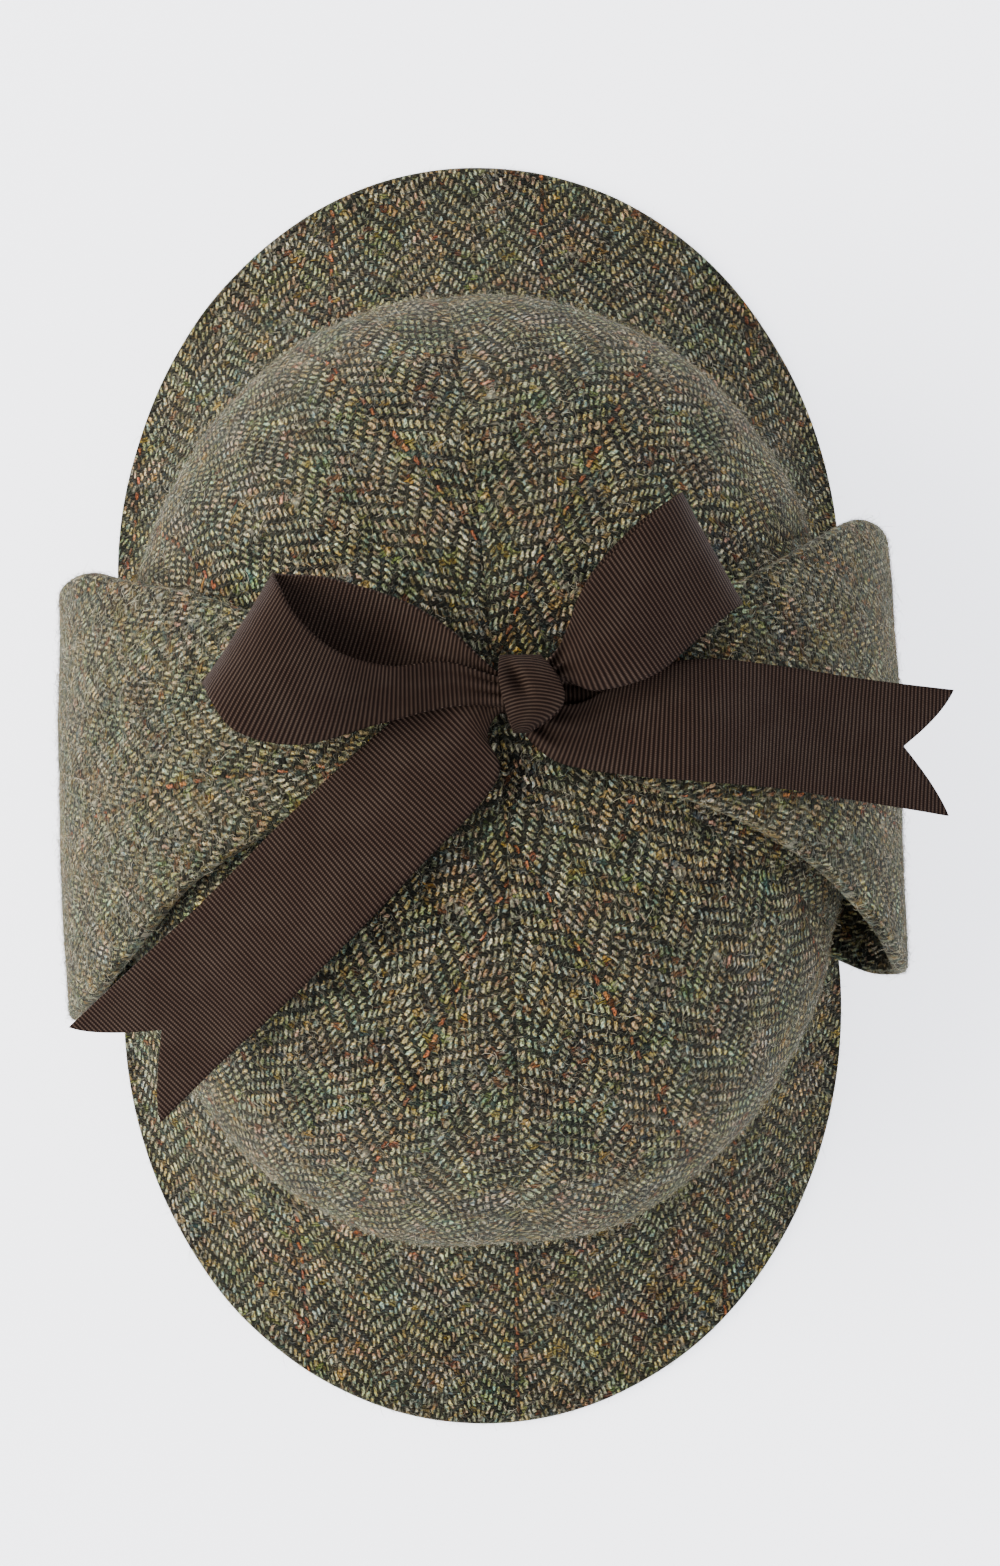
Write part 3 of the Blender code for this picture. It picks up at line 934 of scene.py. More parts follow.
def mark_rim(panel: Object) -> None:
    """Note which vertices lie on a sheet's own edge, where the cloth is turned over.

    Args:
        panel: The sheet.
    """
    with edited(panel.data) as bm:
        rim = bm.verts.layers.float.new("rim")
        for vert in bm.verts:
            vert[rim] = float(vert.is_boundary)


def set_attribute(mesh: bpy.types.Mesh, name: str, values: np.ndarray) -> None:
    """Give each vertex a value that the materials read."""
    attribute = mesh.attributes.new(name, "FLOAT", "POINT")
    attribute.data.foreach_set("value", values.astype(np.float32))


def get_values(items: bpy.types.bpy_prop_collection, name: str, kind: type) -> np.ndarray:
    """Read three numbers from each of a mesh's elements, as rows of an array.

    Args:
        items: The mesh's elements.
        name: Name of their value.
        kind: Type of its numbers.

    Returns:
        One row for each element.
    """
    values = np.empty(len(items) * 3, kind)
    items.foreach_get(name, values)
    return values.reshape(-1, 3)


def mark_wear_and_sheen(cloth: Object, least: float, most: float) -> None:
    """Note how rubbed the cloth is, and where it takes a painted sheen of fibres seen edge-on; both go by
    how steep it stands.

    Args:
        cloth: The piece.
        least: Steepness, from 0 for level cloth to 1 for upright cloth, where the felt starts. Below 0,
            level cloth has some felt too.
        most: Steepness where the felt is fullest.
    """
    steepness = 1 - np.abs(get_values(cloth.data.vertex_normals, "vector", np.float32)[:, 2])
    set_attribute(cloth.data, "wear", np.clip((steepness - least) / (most - least), 0, 1))


def dress(thing: Object, material: Material, slot: Slot, *nodes: str) -> None:
    """Give a piece its material and its body, and hide the solids that it stands for.

    Args:
        thing: The piece.
        material: Its material.
        slot: Its slot in the record; not used.
        nodes: Names of the solids.
    """
    thing.data.materials.clear()
    thing.data.materials.append(material)
    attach(thing, BODY)
    if nodes:
        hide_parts(*nodes)
    LOG.info("%s: %d faces", thing.name, len(thing.data.polygons))


@dataclass(frozen=True)
class WoolFuzz:
    """Fine strands that stand a little off the cloth, cut from one grid as separate strips.

    Steep cloth, which is rubbed most, has more of them.
    """

    material: Material
    kind: str
    segments: int
    shortest: float
    longest: float
    lift: float
    curl: float
    width: float = 0.07 * MM
    taper: float = 0.75
    root_depth: float = 0.05 * MM
    least_lift: float = 0.08
    droop: float = 1.15
    wobble: float = 0.25
    most_tilt: float = 1.1
    # Share of strands on level cloth, and how much more there are on upright cloth
    density: tuple[float, float] = (0.5, 1.5)
    # Each strand's colour goes by patches, and by itself
    patch_width: float = 6 * MM
    patch_share: float = 0.9
    own_share: float = 0.6
    hat_middle: tuple[float, float, float] = (-0.0031, 0.0, 0.03)

    def strips(self, name: str, count: int) -> bpy.types.Mesh:
        """Make a mesh of separate strips, one for each even row of a grid.

        Args:
            name: The mesh's name.
            count: Number of strips.

        Returns:
            The mesh, whose vertices run along each edge of each strip in turn.
        """
        mesh = bpy.data.meshes.new(name)
        with edited(mesh) as bm:
            bmesh.ops.create_grid(bm, x_segments=self.segments, y_segments=2 * count - 1, size=1)
            between = [face for face in bm.faces if (face.index // self.segments) % 2]
            bmesh.ops.delete(bm, geom=between, context="FACES")
        mesh.shade_smooth()
        return mesh

    def roots(
        self, mesh: bpy.types.Mesh, count: int, picker: np.random.Generator
    ) -> tuple[np.ndarray, np.ndarray]:
        """Pick points on the outer faces of a mesh, by area.

        Args:
            mesh: The cloth's mesh.
            count: Number of points.
            picker: Seeded random numbers.

        Returns:
            The points, and the faces' directions there.
        """
        mesh.calc_loop_triangles()
        corners = get_values(mesh.loop_triangles, "vertices", np.int32)
        triangles = get_values(mesh.vertices, "co", np.float32)[corners]
        crosses = np.cross(triangles[:, 1] - triangles[:, 0], triangles[:, 2] - triangles[:, 0])
        sizes = np.linalg.norm(crosses, axis=1)
        normals = crosses / np.maximum(sizes, 1e-12)[:, None]
        outward = triangles.mean(axis=1) - np.array(self.hat_middle)
        outer = np.einsum("ij,ij->i", normals, outward) > 0
        steepness = 1 - np.abs(normals[:, 2])
        level, steep = self.density
        weights = np.where(outer, sizes * (level + steep * steepness), 0)
        chosen = picker.choice(len(weights), count, p=weights / weights.sum())
        first = np.sqrt(picker.random(count))[:, None]
        second = picker.random(count)[:, None]
        one, two, three = triangles[chosen].transpose(1, 0, 2)
        points = (1 - first) * one + first * (1 - second) * two + first * second * three
        return points, normals[chosen]

    def grow(self, cloth: Object, count: int, seed: int) -> Object:
        """Grow strands on a piece of cloth.

        Args:
            cloth: The piece.
            count: Number of strands.
            seed: Seed of the random numbers.

        Returns:
            The strands as one object.
        """
        picker = np.random.default_rng(seed)
        points, normals = self.roots(cloth.data, count, picker)
        helper = np.where(np.abs(normals[:, 2:3]) > 0.8, [[1.0, 0.0, 0.0]], [[0.0, 0.0, 1.0]])
        first = np.cross(normals, helper)
        first /= np.linalg.norm(first, axis=1)[:, None]
        second = np.cross(normals, first)
        lengths = picker.uniform(0, 1, count) ** 2 * (self.longest - self.shortest) + self.shortest
        step = (lengths / self.segments)[:, None]
        heading = picker.uniform(0, 2 * math.pi, count)
        bend = picker.normal(0, self.curl, count)
        lift = np.abs(picker.normal(0, self.lift, count)) + self.least_lift
        tilt = picker.uniform(-self.most_tilt, self.most_tilt, count)[:, None]
        edges = []
        spot = points - normals * self.root_depth
        for number in range(self.segments + 1):
            rise = lift * (1 - self.droop * number / self.segments)
            turned = heading + bend * number + picker.normal(0, self.wobble, count)
            flat = np.cos(turned)[:, None] * first + np.sin(turned)[:, None] * second
            ahead = flat * np.cos(rise)[:, None] + normals * np.sin(rise)[:, None]
            side = np.cross(ahead, normals)
            side = side * np.cos(tilt) + normals * np.sin(tilt)
            taper = 1 - self.taper * (number / self.segments) ** 2
            half = side * (self.width / 2 * taper)
            edges.append((spot - half, spot + half))
            spot = spot + ahead * step
        places = np.array(edges).transpose(2, 1, 0, 3)
        places[..., 2] = np.maximum(places[..., 2], 0)
        mesh = self.strips(cloth.name + "_" + self.kind, count)
        mesh.vertices.foreach_set("co", places.astype(np.float32).ravel())
        patches = np.array([noise.noise(Vector(point) / self.patch_width) for point in points.tolist()])
        own = picker.random(count) - 0.5
        hues = (0.5 + self.patch_share * patches + self.own_share * own) % 1.0
        set_attribute(mesh, "strand", np.repeat(hues, 2 * (self.segments + 1)))
        mesh.update()
        fuzz = show(mesh.name, mesh)
        dress(fuzz, self.material, Slot.TWEED)
        return fuzz


@dataclass
class Gore:
    """One of the crown's six gores: a wedge of cloth from the band to the apex."""

    node: str
    middle_degrees: float
    stripe_shift: float
    seam_turn_degrees: float = 4.0
    half_span: float = math.pi / 6 + 0.006
    wall: float = CROWN_WALL_MM * MM
    seam_depth: float = 1.0 * MM
    seam_sharpness: int = 8
    columns: int = 44
    rows: int = 84
    lumps: Lumps = ((0.030, 0.9 * MM), (0.011, 0.35 * MM))
    wear: tuple[float, float] = (0.3, 0.95)
    stations: list[tuple[Vector, Vector, Vector, float]] = field(default_factory=list)

    @property
    def middle(self) -> float:
        """Angle of the gore's middle line."""
        return math.radians(self.middle_degrees + self.seam_turn_degrees)

    def place(self, share_across: float, share_up: float) -> Vector:
        """Give a point of the gore, whose edges sink into the seams.

        Args:
            share_across: Share of the way across, from 0 to 1.
            share_up: Share of the way up, from 0 to 1.

        Returns:
            The point, in the hat's own frame.
        """
        level = CROWN.apex_level * share_up
        across = 2 * share_across - 1
        angle = self.middle + self.half_span * across
        groove = self.seam_depth * abs(across) ** self.seam_sharpness
        return CROWN.point(angle, level) - CROWN.normal(angle, level) * groove

    def measure(self) -> None:
        """Note the middle line's points, directions and lengths, row by row."""
        levels = [CROWN.apex_level * row / self.rows for row in range(self.rows + 1)]
        points = [CROWN.point(self.middle, level) for level in levels]
        for index, (level, point) in enumerate(zip(levels, points)):
            ahead = points[min(index + 1, self.rows)] - points[max(index - 1, 0)]
            up = ahead.normalized()
            side = up.cross(CROWN.normal(self.middle, level)).normalized()
            self.stations.append((point, up, -side, path_lengths(points[:index + 1])[-1]))

    def flat(self, share_across: float, share_up: float) -> tuple[float, float]:
        """Lay the gore flat about its middle line, with the warp along that line.

        Args:
            share_across: Share of the way across, from 0 to 1.
            share_up: Share of the way up, from 0 to 1.

        Returns:
            The point's place on the flat cloth, in metres.
        """
        point, up, side, length = self.stations[round(share_up * self.rows)]
        away = self.place(share_across, share_up) - point
        return away.dot(side) + self.stripe_shift, length + away.dot(up)

    def build(self, tweed: Material) -> Object:
        """Make the gore.

        Args:
            tweed: The tweed material.

        Returns:
            The gore.
        """
        self.measure()
        gore = cloth_panel(self.node + "_cloth", self.columns, self.rows, self.place, self.flat)
        soften(gore, self.lumps)
        thicken(gore, self.wall, -1, rounding=0)
        mark_wear_and_sheen(gore, *self.wear)
        dress(gore, tweed, Slot.TWEED, self.node)
        return gore


@dataclass
class Peak:
    """A stiffened peak: a crescent between the crown's band and a half ellipse."""

    node: str
    end: HatEnd
    half_width: float
    depth: float
    centre: float
    stripe_shift: float
    thickness: float = 4 * MM
    edge_height: float = 2.8 * MM
    end_height: float = 26 * MM
    root_span: float = math.radians(71)
    edge_span: float = math.radians(109)
    flat_share: float = 0.62
    columns: int = 88
    rows_between: int = 2
    lumps: Lumps = ((0.024, 0.35 * MM), (0.009, 0.15 * MM))
    wear: tuple[float, float] = (0.2, 0.8)
    # Share of the way out, and share of the drop, from the band to the edge
    rows: tuple[tuple[float, float], ...] = (
        (0.00, 0.000), (0.06, 0.045), (0.22, 0.235), (0.42, 0.480),
        (0.62, 0.700), (0.80, 0.865), (0.92, 0.955), (1.00, 1.000),
    )

    def root_and_edge(self, share_across: float) -> tuple[Vector, Vector, Vector]:
        """Give the points where a line across the peak starts and ends, and the crown's wall inward.

        Args:
            share_across: Share of the way across, from 0 to 1.

        Returns:
            The root, the edge, and a vector from the wall's outer face to its inner one.
        """
        sweep = 1 - 2 * share_across
        root_angle = self.end.value * math.pi / 2 + self.root_span * sweep
        edge_angle = self.end.value * math.pi / 2 + self.edge_span * sweep
        root = CROWN.point(root_angle, 0)
        root.z = CROWN.band_height - SEWN_GAP
        rise = max(0, (abs(sweep) - self.flat_share) / (1 - self.flat_share))
        edge = Vector((
            self.half_width * math.cos(edge_angle),
            self.end.value * self.centre + self.depth * math.sin(edge_angle),
            self.edge_height + (self.end_height - self.edge_height) * ease(rise),
        ))
        inward = CROWN.normal(root_angle, 0) * CROWN_WALL_MM * MM
        return root, edge, Vector((inward.x, inward.y, 0))

    def place(self, share_across: float, share_out: float) -> Vector:
        """Give a point of the peak, from under the crown's wall out to the edge.

        Args:
            share_across: Share of the way across, from 0 to 1.
            share_out: Share of the way out, from 0 to 1.

        Returns:
            The point, in the hat's own frame.
        """
        root, edge, inward = self.root_and_edge(share_across)
        row = share_out * len(self.rows)
        if row < 1:
            return root - inward * (1 - row)
        way, drop = smooth_row(self.rows, (row - 1) / (len(self.rows) - 1))
        point = root.lerp(edge, way)
        point.z = root.z + (edge.z - root.z) * drop
        return point

    def flat(self, share_across: float, share_out: float) -> tuple[float, float]:
        """Lay the peak flat, with the warp along the hat.

        Args:
            share_across: Share of the way across, from 0 to 1.
            share_out: Share of the way out, from 0 to 1.

        Returns:
            The point's place on the flat cloth, in metres.
        """
        root, edge, _ = self.root_and_edge(share_across)
        point = self.place(share_across, share_out)
        away = point - root
        plan = Vector((away.x, away.y, 0))
        if plan.length < 1e-6:
            return root.x + self.stripe_shift, root.y
        laid = plan.normalized() * away.length
        return root.x + laid.x + self.stripe_shift, root.y + laid.y

    def build(self, tweed: Material) -> Object:
        """Make the peak, flat along its edge where it rests.

        Args:
            tweed: The tweed material.

        Returns:
            The peak.
        """
        rows = len(self.rows) * self.rows_between
        peak = cloth_panel(self.node + "_cloth", self.columns, rows, self.place, self.flat)
        soften(peak, self.lumps)
        mark_rim(peak)
        thicken(peak, self.thickness, -1, rounding=1)
        settle_on_table(peak)
        mark_wear_and_sheen(peak, *self.wear)
        dress(peak, tweed, Slot.TWEED, self.node)
        return peak


@dataclass
class EarFlap:
    """An ear flap of doubled cloth, folded up from the band over the crown's side."""

    node: str
    side: HatSide
    # Level on the crown, standoff from it, half width, distance of its middle along the hat, how closely
    # it clings to the crown's curve, and how far its front and back edges lift
    table: Table
    stripe_shift: float
    thickness: float = 3.8 * MM
    lift_sharpness: int = 3
    columns: int = 40
    rows: int = 60
    lumps: Lumps = ((0.026, 0.7 * MM), (0.010, 0.3 * MM))
    wear: tuple[float, float] = (-0.35, 0.6)
    lengths: list[float] = field(default_factory=list)

    def place(self, share_across: float, share_up: float) -> Vector:
        """Give a point of the flap.

        Args:
            share_across: Share of the way across, from 0 to 1.
            share_up: Share of the way up, from 0 to 1.

        Returns:
            The point, in the hat's own frame.
        """
        side = self.side.value
        across = side * (2 * share_across - 1)
        level, standoff, half_width, offset, cling, front_lift, back_lift = smooth_row(self.table, share_up)
        lift = back_lift if across > 0 else front_lift
        lifted = standoff + lift * abs(across) ** self.lift_sharpness
        middle_angle = CROWN.side_angle(level, offset, side)
        point_angle = CROWN.side_angle(level, offset + across * half_width, side)
        straight, draped = (
            CROWN.point(angle, level) + CROWN.normal(angle, level) * lifted
            for angle in (middle_angle, point_angle)
        )
        straight.y += across * half_width
        return straight.lerp(draped, cling)

    def flat(self, share_across: float, share_up: float) -> tuple[float, float]:
        """Lay the flap flat, with the warp from the band to the tip.

        Args:
            share_across: Share of the way across, from 0 to 1.
            share_up: Share of the way up, from 0 to 1.

        Returns:
            The point's place on the flat cloth, in metres.
        """
        half_width = smooth_row(self.table, share_up)[2]
        across = self.side.value * (2 * share_across - 1)
        return across * half_width + self.stripe_shift, self.lengths[round(share_up * self.rows)]

    def build(self, tweed: Material) -> Object:
        """Make the flap.

        Args:
            tweed: The tweed material.

        Returns:
            The flap.
        """
        middle = [self.place(0.5, row / self.rows) for row in range(self.rows + 1)]
        self.lengths = path_lengths(middle)
        flap = cloth_panel(self.node + "_cloth", self.columns, self.rows, self.place, self.flat)
        soften(flap, self.lumps)
        mark_rim(flap)
        thicken(flap, self.thickness, -1, rounding=1)
        mark_wear_and_sheen(flap, *self.wear)
        dress(flap, tweed, Slot.TWEED, self.node)
        return flap


@dataclass
class RibbonPiece:
    """A stretch of the ribbon between two edges that a table gives."""

    node: str
    held: Held
    rests_on: tuple[str, ...]
    # In millimetres: one edge x, y, z, the other edge x, y, z, and the middle's rise above their line
    table: Table
    notch_depth: float = 0.0
    knot_at_end: bool = False
    flat_width: float = 28 * MM
    thickness: float = 0.7 * MM
    pleats: float = 2.5
    pleat_depth: float = 1.2 * MM
    pleat_reach: float = 15 * MM
    columns: int = 24
    row_length: float = 0.7 * MM
    stations: int = 160
    lumps: Lumps = ((0.020, 0.7 * MM), (0.008, 0.2 * MM))
    lengths: list[float] = field(default_factory=list)

    def row(self, place: float) -> list[float]:
        """Read the table at a place from 0 to 1, in metres."""
        return [value * MM for value in smooth_row(self.table, place)]

    def row_at(self, share_across: float, share_along: float) -> float:
        """Give the place in the table of a point, with the last end cut to a V."""
        across = abs(2 * share_across - 1)
        return share_along * (1 - self.notch_depth / self.lengths[-1] * (1 - across))

    def place(self, share_across: float, share_along: float) -> Vector:
        """Give a point of the ribbon.

        Args:
            share_across: Share of the way across, from 0 to 1.
            share_along: Share of the way along, from 0 to 1.

        Returns:
            The point, in the hat's own frame.
        """
        row = self.row(self.row_at(share_across, share_along))
        point = Vector(row[0:3]).lerp(Vector(row[3:6]), share_across)
        point.z += row[6] * (1 - (2 * share_across - 1) ** 2) + self.pleat(share_across, share_along)
        return point

    def pleat(self, share_across: float, share_along: float) -> float:
        """Give the rise of the folds that run out from the knot and fade along the ribbon.

        Args:
            share_across: Share of the way across, from 0 to 1.
            share_along: Share of the way along, from 0 to 1.

        Returns:
            The rise, in metres.
        """
        away = share_along
        if self.knot_at_end:
            away = min(share_along, 1 - share_along)
        fade = math.exp(-((away * self.lengths[-1] / self.pleat_reach) ** 2))
        return self.pleat_depth * fade * math.cos(2 * math.pi * self.pleats * share_across)

    def flat(self, share_across: float, share_along: float) -> tuple[float, float]:
        """Lay the ribbon flat.

        Args:
            share_across: Share of the way across, from 0 to 1.
            share_along: Share of the way along, from 0 to 1.

        Returns:
            The point's place on the flat cloth, in metres.
        """
        share = self.row_at(share_across, share_along) * (len(self.lengths) - 1)
        index = min(int(share), len(self.lengths) - 2)
        start, end = self.lengths[index:index + 2]
        return (share_across - 0.5) * self.flat_width, start + (end - start) * (share - index)

    def build(self, grosgrain: Material) -> Object:
        """Make the ribbon.

        Args:
            grosgrain: The ribbon material.

        Returns:
            The ribbon.
        """
        middles = []
        for index in range(self.stations + 1):
            row = self.row(index / self.stations)
            middles.append((Vector(row[0:3]) + Vector(row[3:6])) / 2)
        self.lengths = path_lengths(middles)
        rows = round(self.lengths[-1] / self.row_length)
        ribbon = cloth_panel(self.node + "_cloth", self.columns, rows, self.place, self.flat)
        soften(ribbon, self.lumps)
        thicken(ribbon, self.thickness, 0, rounding=0)
        dress(ribbon, grosgrain, Slot.RIBBON, self.node)
        self.declare()
        return ribbon

    def declare(self) -> None:
        """Read the names of the pieces that the ribbon rests on, and do nothing with them.
        """
        list(self.rests_on)


@dataclass
class Knot:
    """The ribbon's turn round the bow's middle, wider on its right and dented at its upper left."""

    node: str = "bow_knot"
    centre: tuple[float, float, float] = (0.0116, 0.0114, 0.1437)
    half_width: float = 8.4 * MM
    half_height: float = 5.2 * MM
    # Left and right edge beside the centre, from the knot's back to its front
    outline: tuple[tuple[float, float], ...] = (
        (-0.0070, 0.0022), (-0.0072, 0.0044), (-0.0072, 0.0060), (-0.0067, 0.0072),
        (-0.0060, 0.0066), (-0.0052, 0.0038), (-0.0042, -0.0004),
    )
    dent_start: tuple[float, float] = (-0.0056, 0.0080)
    dent_end: tuple[float, float] = (-0.0014, 0.0008)
    dent_depth: float = 3.3 * MM
    dent_widths: tuple[float, float] = (0.8 * MM, 2.0 * MM)
    dent_middle: float = 0.7
    dent_length: float = 0.45
    end_droop: float = 0.2
    rib_sag: float = 1.6 * MM
    rib_crowding: float = 1.2
    wall: float = 1.2 * MM
    flat_width: float = 28 * MM
    squareness: float = 2.6
    around: int = 72
    across: int = 24
    join_gap: float = 0.05 * MM
    lengths: list[float] = field(default_factory=list)

    def place(self, share_around: float, share_across: float) -> Vector:
        """Give a point of the knot.

        Args:
            share_around: Share of the way around, from 0 to 1.
            share_across: Share of the way across, from 0 to 1.

        Returns:
            The point, in the hat's own frame.
        """
        angle = 2 * math.pi * share_around
        side, rise = (
            math.copysign(abs(part) ** (2 / self.squareness), part)
            for part in (math.cos(angle), math.sin(angle))
        )
        left, right = smooth_row(self.outline, (1 - side) / 2)
        across = 2 * share_across - 1
        x = left + (right - left) * share_across
        y = self.half_width * side
        z = self.half_height * rise * (1 - self.end_droop * across ** 2)
        if rise > 0:
            z -= self.dent(x, y)
        return Vector((x, y, z)) + Vector(self.centre)

    def dent(self, x: float, y: float) -> float:
        """Give the depth of the fold's pocket, which is steep on its right and shallow on its left.

        Args:
            x: Distance across from the knot's centre.
            y: Distance along the hat from it.

        Returns:
            The depth, in metres.
        """
        start = Vector(self.dent_start)
        line = Vector(self.dent_end) - start
        place = Vector((x, y)) - start
        along = place.dot(line) / line.length_squared
        away = (place.x * line.y - place.y * line.x) / line.length
        width = self.dent_widths[0] if away < 0 else self.dent_widths[1]
        ahead = (along - self.dent_middle) / self.dent_length
        return self.dent_depth * math.exp(-((away / width) ** 2) - ahead ** 2)

    def flat(self, share_around: float, share_across: float) -> tuple[float, float]:
        """Lay the knot's ribbon flat.

        Args:
            share_around: Share of the way around, from 0 to 1.
            share_across: Share of the way across, from 0 to 1.

        Returns:
            The point's place on the flat cloth, in metres.
        """
        across = 2 * share_across - 1
        turned = self.lengths[round(share_around * self.around)] * self.rib_crowding
        return across * self.flat_width / 2, turned - self.rib_sag * across ** 2

    def build(self, grosgrain: Material) -> Object:
        """Make the knot as a closed ring.

        Args:
            grosgrain: The ribbon material.

        Returns:
            The knot.
        """
        middle = [self.place(turn / self.around, 0.5) for turn in range(self.around + 1)]
        self.lengths = path_lengths(middle)
        knot = cloth_panel(self.node + "_cloth", self.around, self.across, self.place, self.flat)
        join = knot.modifiers.new("join", "WELD")
        join.merge_threshold = self.join_gap
        thicken(knot, self.wall, -1, rounding=1)
        dress(knot, grosgrain, Slot.RIBBON, self.node)
        return knot


@dataclass(frozen=True)
class Studio:
    """White paper, a broad light from the upper left, a pale surround, and the camera over the hat."""

    camera_distance: float = 1.3
    camera_elevation: float = math.radians(86)
    camera_roll: float = math.radians(0.54)
    metres_per_pixel: float = 0.24 * MM
    aim: tuple[float, float, float] = (1.5 * MM, 2.4 * MM, 0.0)
    sensor: float = 36.0
    floor_half: float = 4.0
    surround_color: str = "#eef0fa"
    surround: float = 1.3
    key_place: tuple[float, float, float] = (-1.85, -0.1, 1.7)
    key_target: tuple[float, float, float] = (0, 0, 0.08)
    key_size: float = 2.0
    key_watts: float = 120
    key_color: str = "#fffaf2"

    def add_camera(self) -> None:
        """Look down at the hat from just in front of it, as the photograph does."""
        cosine = math.cos(self.camera_elevation)
        sine = math.sin(self.camera_elevation)
        upward = Vector((0, sine, cosine))
        rightward = Vector((1, 0, 0))
        backward = Vector((0, -cosine, sine))
        axis_x = rightward * math.cos(self.camera_roll) - upward * math.sin(self.camera_roll)
        axis_y = upward * math.cos(self.camera_roll) + rightward * math.sin(self.camera_roll)
        data = bpy.data.cameras.new("camera")
        data.sensor_width = self.sensor
        data.lens = self.sensor * self.camera_distance / (IMAGE_HEIGHT * self.metres_per_pixel)
        camera = show("camera", data)
        place = Vector(self.aim) + backward * self.camera_distance
        turned = Matrix((axis_x, axis_y, backward)).transposed().to_4x4()
        camera.matrix_world = Matrix.Translation(place) @ turned
        bpy.context.scene.camera = camera

    def add_floor(self) -> None:
        """Lay the paper."""
        mesh = bpy.data.meshes.new("paper")
        with edited(mesh) as bm:
            bmesh.ops.create_grid(bm, x_segments=1, y_segments=1, size=self.floor_half)
        mesh.materials.append(StudioPaper().build("seamless_paper"))
        show("paper", mesh)

    def add_light(self) -> None:
        """Add a broad soft light that points at the hat."""
        data = bpy.data.lights.new("key", "AREA")
        data.shape = "SQUARE"
        data.size = self.key_size
        data.energy = self.key_watts
        data.color = to_linear(self.key_color)[:3]
        light = show("key", data)
        light.location = self.key_place
        aim = Vector(self.key_target) - Vector(self.key_place)
        light.rotation_euler = aim.to_track_quat("-Z", "Y").to_euler()

    def build(self) -> None:
        """Set up the studio."""
        self.add_camera()
        self.add_floor()
        world = bpy.data.worlds.new("surround")
        world.use_nodes = True
        surround = {"Color": to_linear(self.surround_color), "Strength": self.surround}
        fill_inputs(world.node_tree.nodes["Background"], surround)
        bpy.context.scene.world = world
        self.add_light()


GORES = (
    Gore("crown_gore_side_right", 0, 0.010),
    Gore("crown_gore_back_right", 60, 0.0059),
    Gore("crown_gore_back_left", 120, -0.0181),
    Gore("crown_gore_side_left", 180, 0.015),
    Gore("crown_gore_front_left", 240, 0.0185),
    Gore("crown_gore_front_right", 300, -0.0125),
)

PEAKS = (
    Peak("back_peak", HatEnd.BACK, half_width=0.086, depth=0.0965, centre=0.0553, stripe_shift=-0.0158),
    Peak("front_peak", HatEnd.FRONT, half_width=0.085, depth=0.0955, centre=0.0553, stripe_shift=-0.0070),
)

FLAPS = (
    EarFlap("ear_flap_right", HatSide.RIGHT, stripe_shift=0.020, table=(
        (0.004, 0.0008, 0.0430, 0.0040, 1.00, 0.0000, 0.0000),
        (0.006, 0.0080, 0.0460, 0.0045, 0.75, 0.0000, 0.0000),
        (0.020, 0.0138, 0.0490, 0.0050, 0.45, 0.0000, 0.0000),
        (0.055, 0.0165, 0.0500, 0.0050, 0.25, 0.0010, 0.0000),
        (0.110, 0.0150, 0.0500, 0.0050, 0.25, 0.0025, 0.0000),
        (0.200, 0.0115, 0.0490, 0.0052, 0.45, 0.0035, 0.0005),
        (0.300, 0.0090, 0.0460, 0.0065, 0.65, 0.0035, 0.0005),
        (0.420, 0.0072, 0.0395, 0.0070, 0.82, 0.0025, 0.0005),
        (0.550, 0.0062, 0.0320, 0.0060, 0.92, 0.0010, 0.0000),
        (0.680, 0.0056, 0.0245, 0.0040, 0.95, 0.0000, 0.0000),
        (0.800, 0.0049, 0.0180, 0.0020, 1.00, 0.0000, 0.0000),
        (0.920, 0.0046, 0.0105, 0.0010, 1.00, 0.0000, 0.0000),
    )),
    EarFlap("ear_flap_left", HatSide.LEFT, stripe_shift=0.0109, table=(
        (0.004, 0.0008, 0.0430, -0.0025, 1.00, 0.0000, 0.0000),
        (0.006, 0.0080, 0.0455, -0.0030, 0.75, 0.0000, 0.0000),
        (0.020, 0.0138, 0.0480, -0.0040, 0.45, 0.0000, 0.0000),
        (0.055, 0.0165, 0.0488, -0.0045, 0.25, 0.0000, 0.0008),
        (0.110, 0.0150, 0.0488, -0.0045, 0.25, 0.0005, 0.0015),
        (0.200, 0.0115, 0.0480, -0.0040, 0.45, 0.0010, 0.0012),
        (0.300, 0.0090, 0.0455, -0.0030, 0.65, 0.0010, 0.0008),
        (0.420, 0.0072, 0.0395, -0.0020, 0.82, 0.0005, 0.0003),
        (0.550, 0.0062, 0.0320, 0.0000, 0.92, 0.0000, 0.0000),
        (0.680, 0.0056, 0.0245, 0.0000, 0.95, 0.0000, 0.0000),
        (0.800, 0.0049, 0.0180, 0.0000, 1.00, 0.0000, 0.0000),
        (0.920, 0.0046, 0.0105, 0.0000, 1.00, 0.0000, 0.0000),
    )),
)

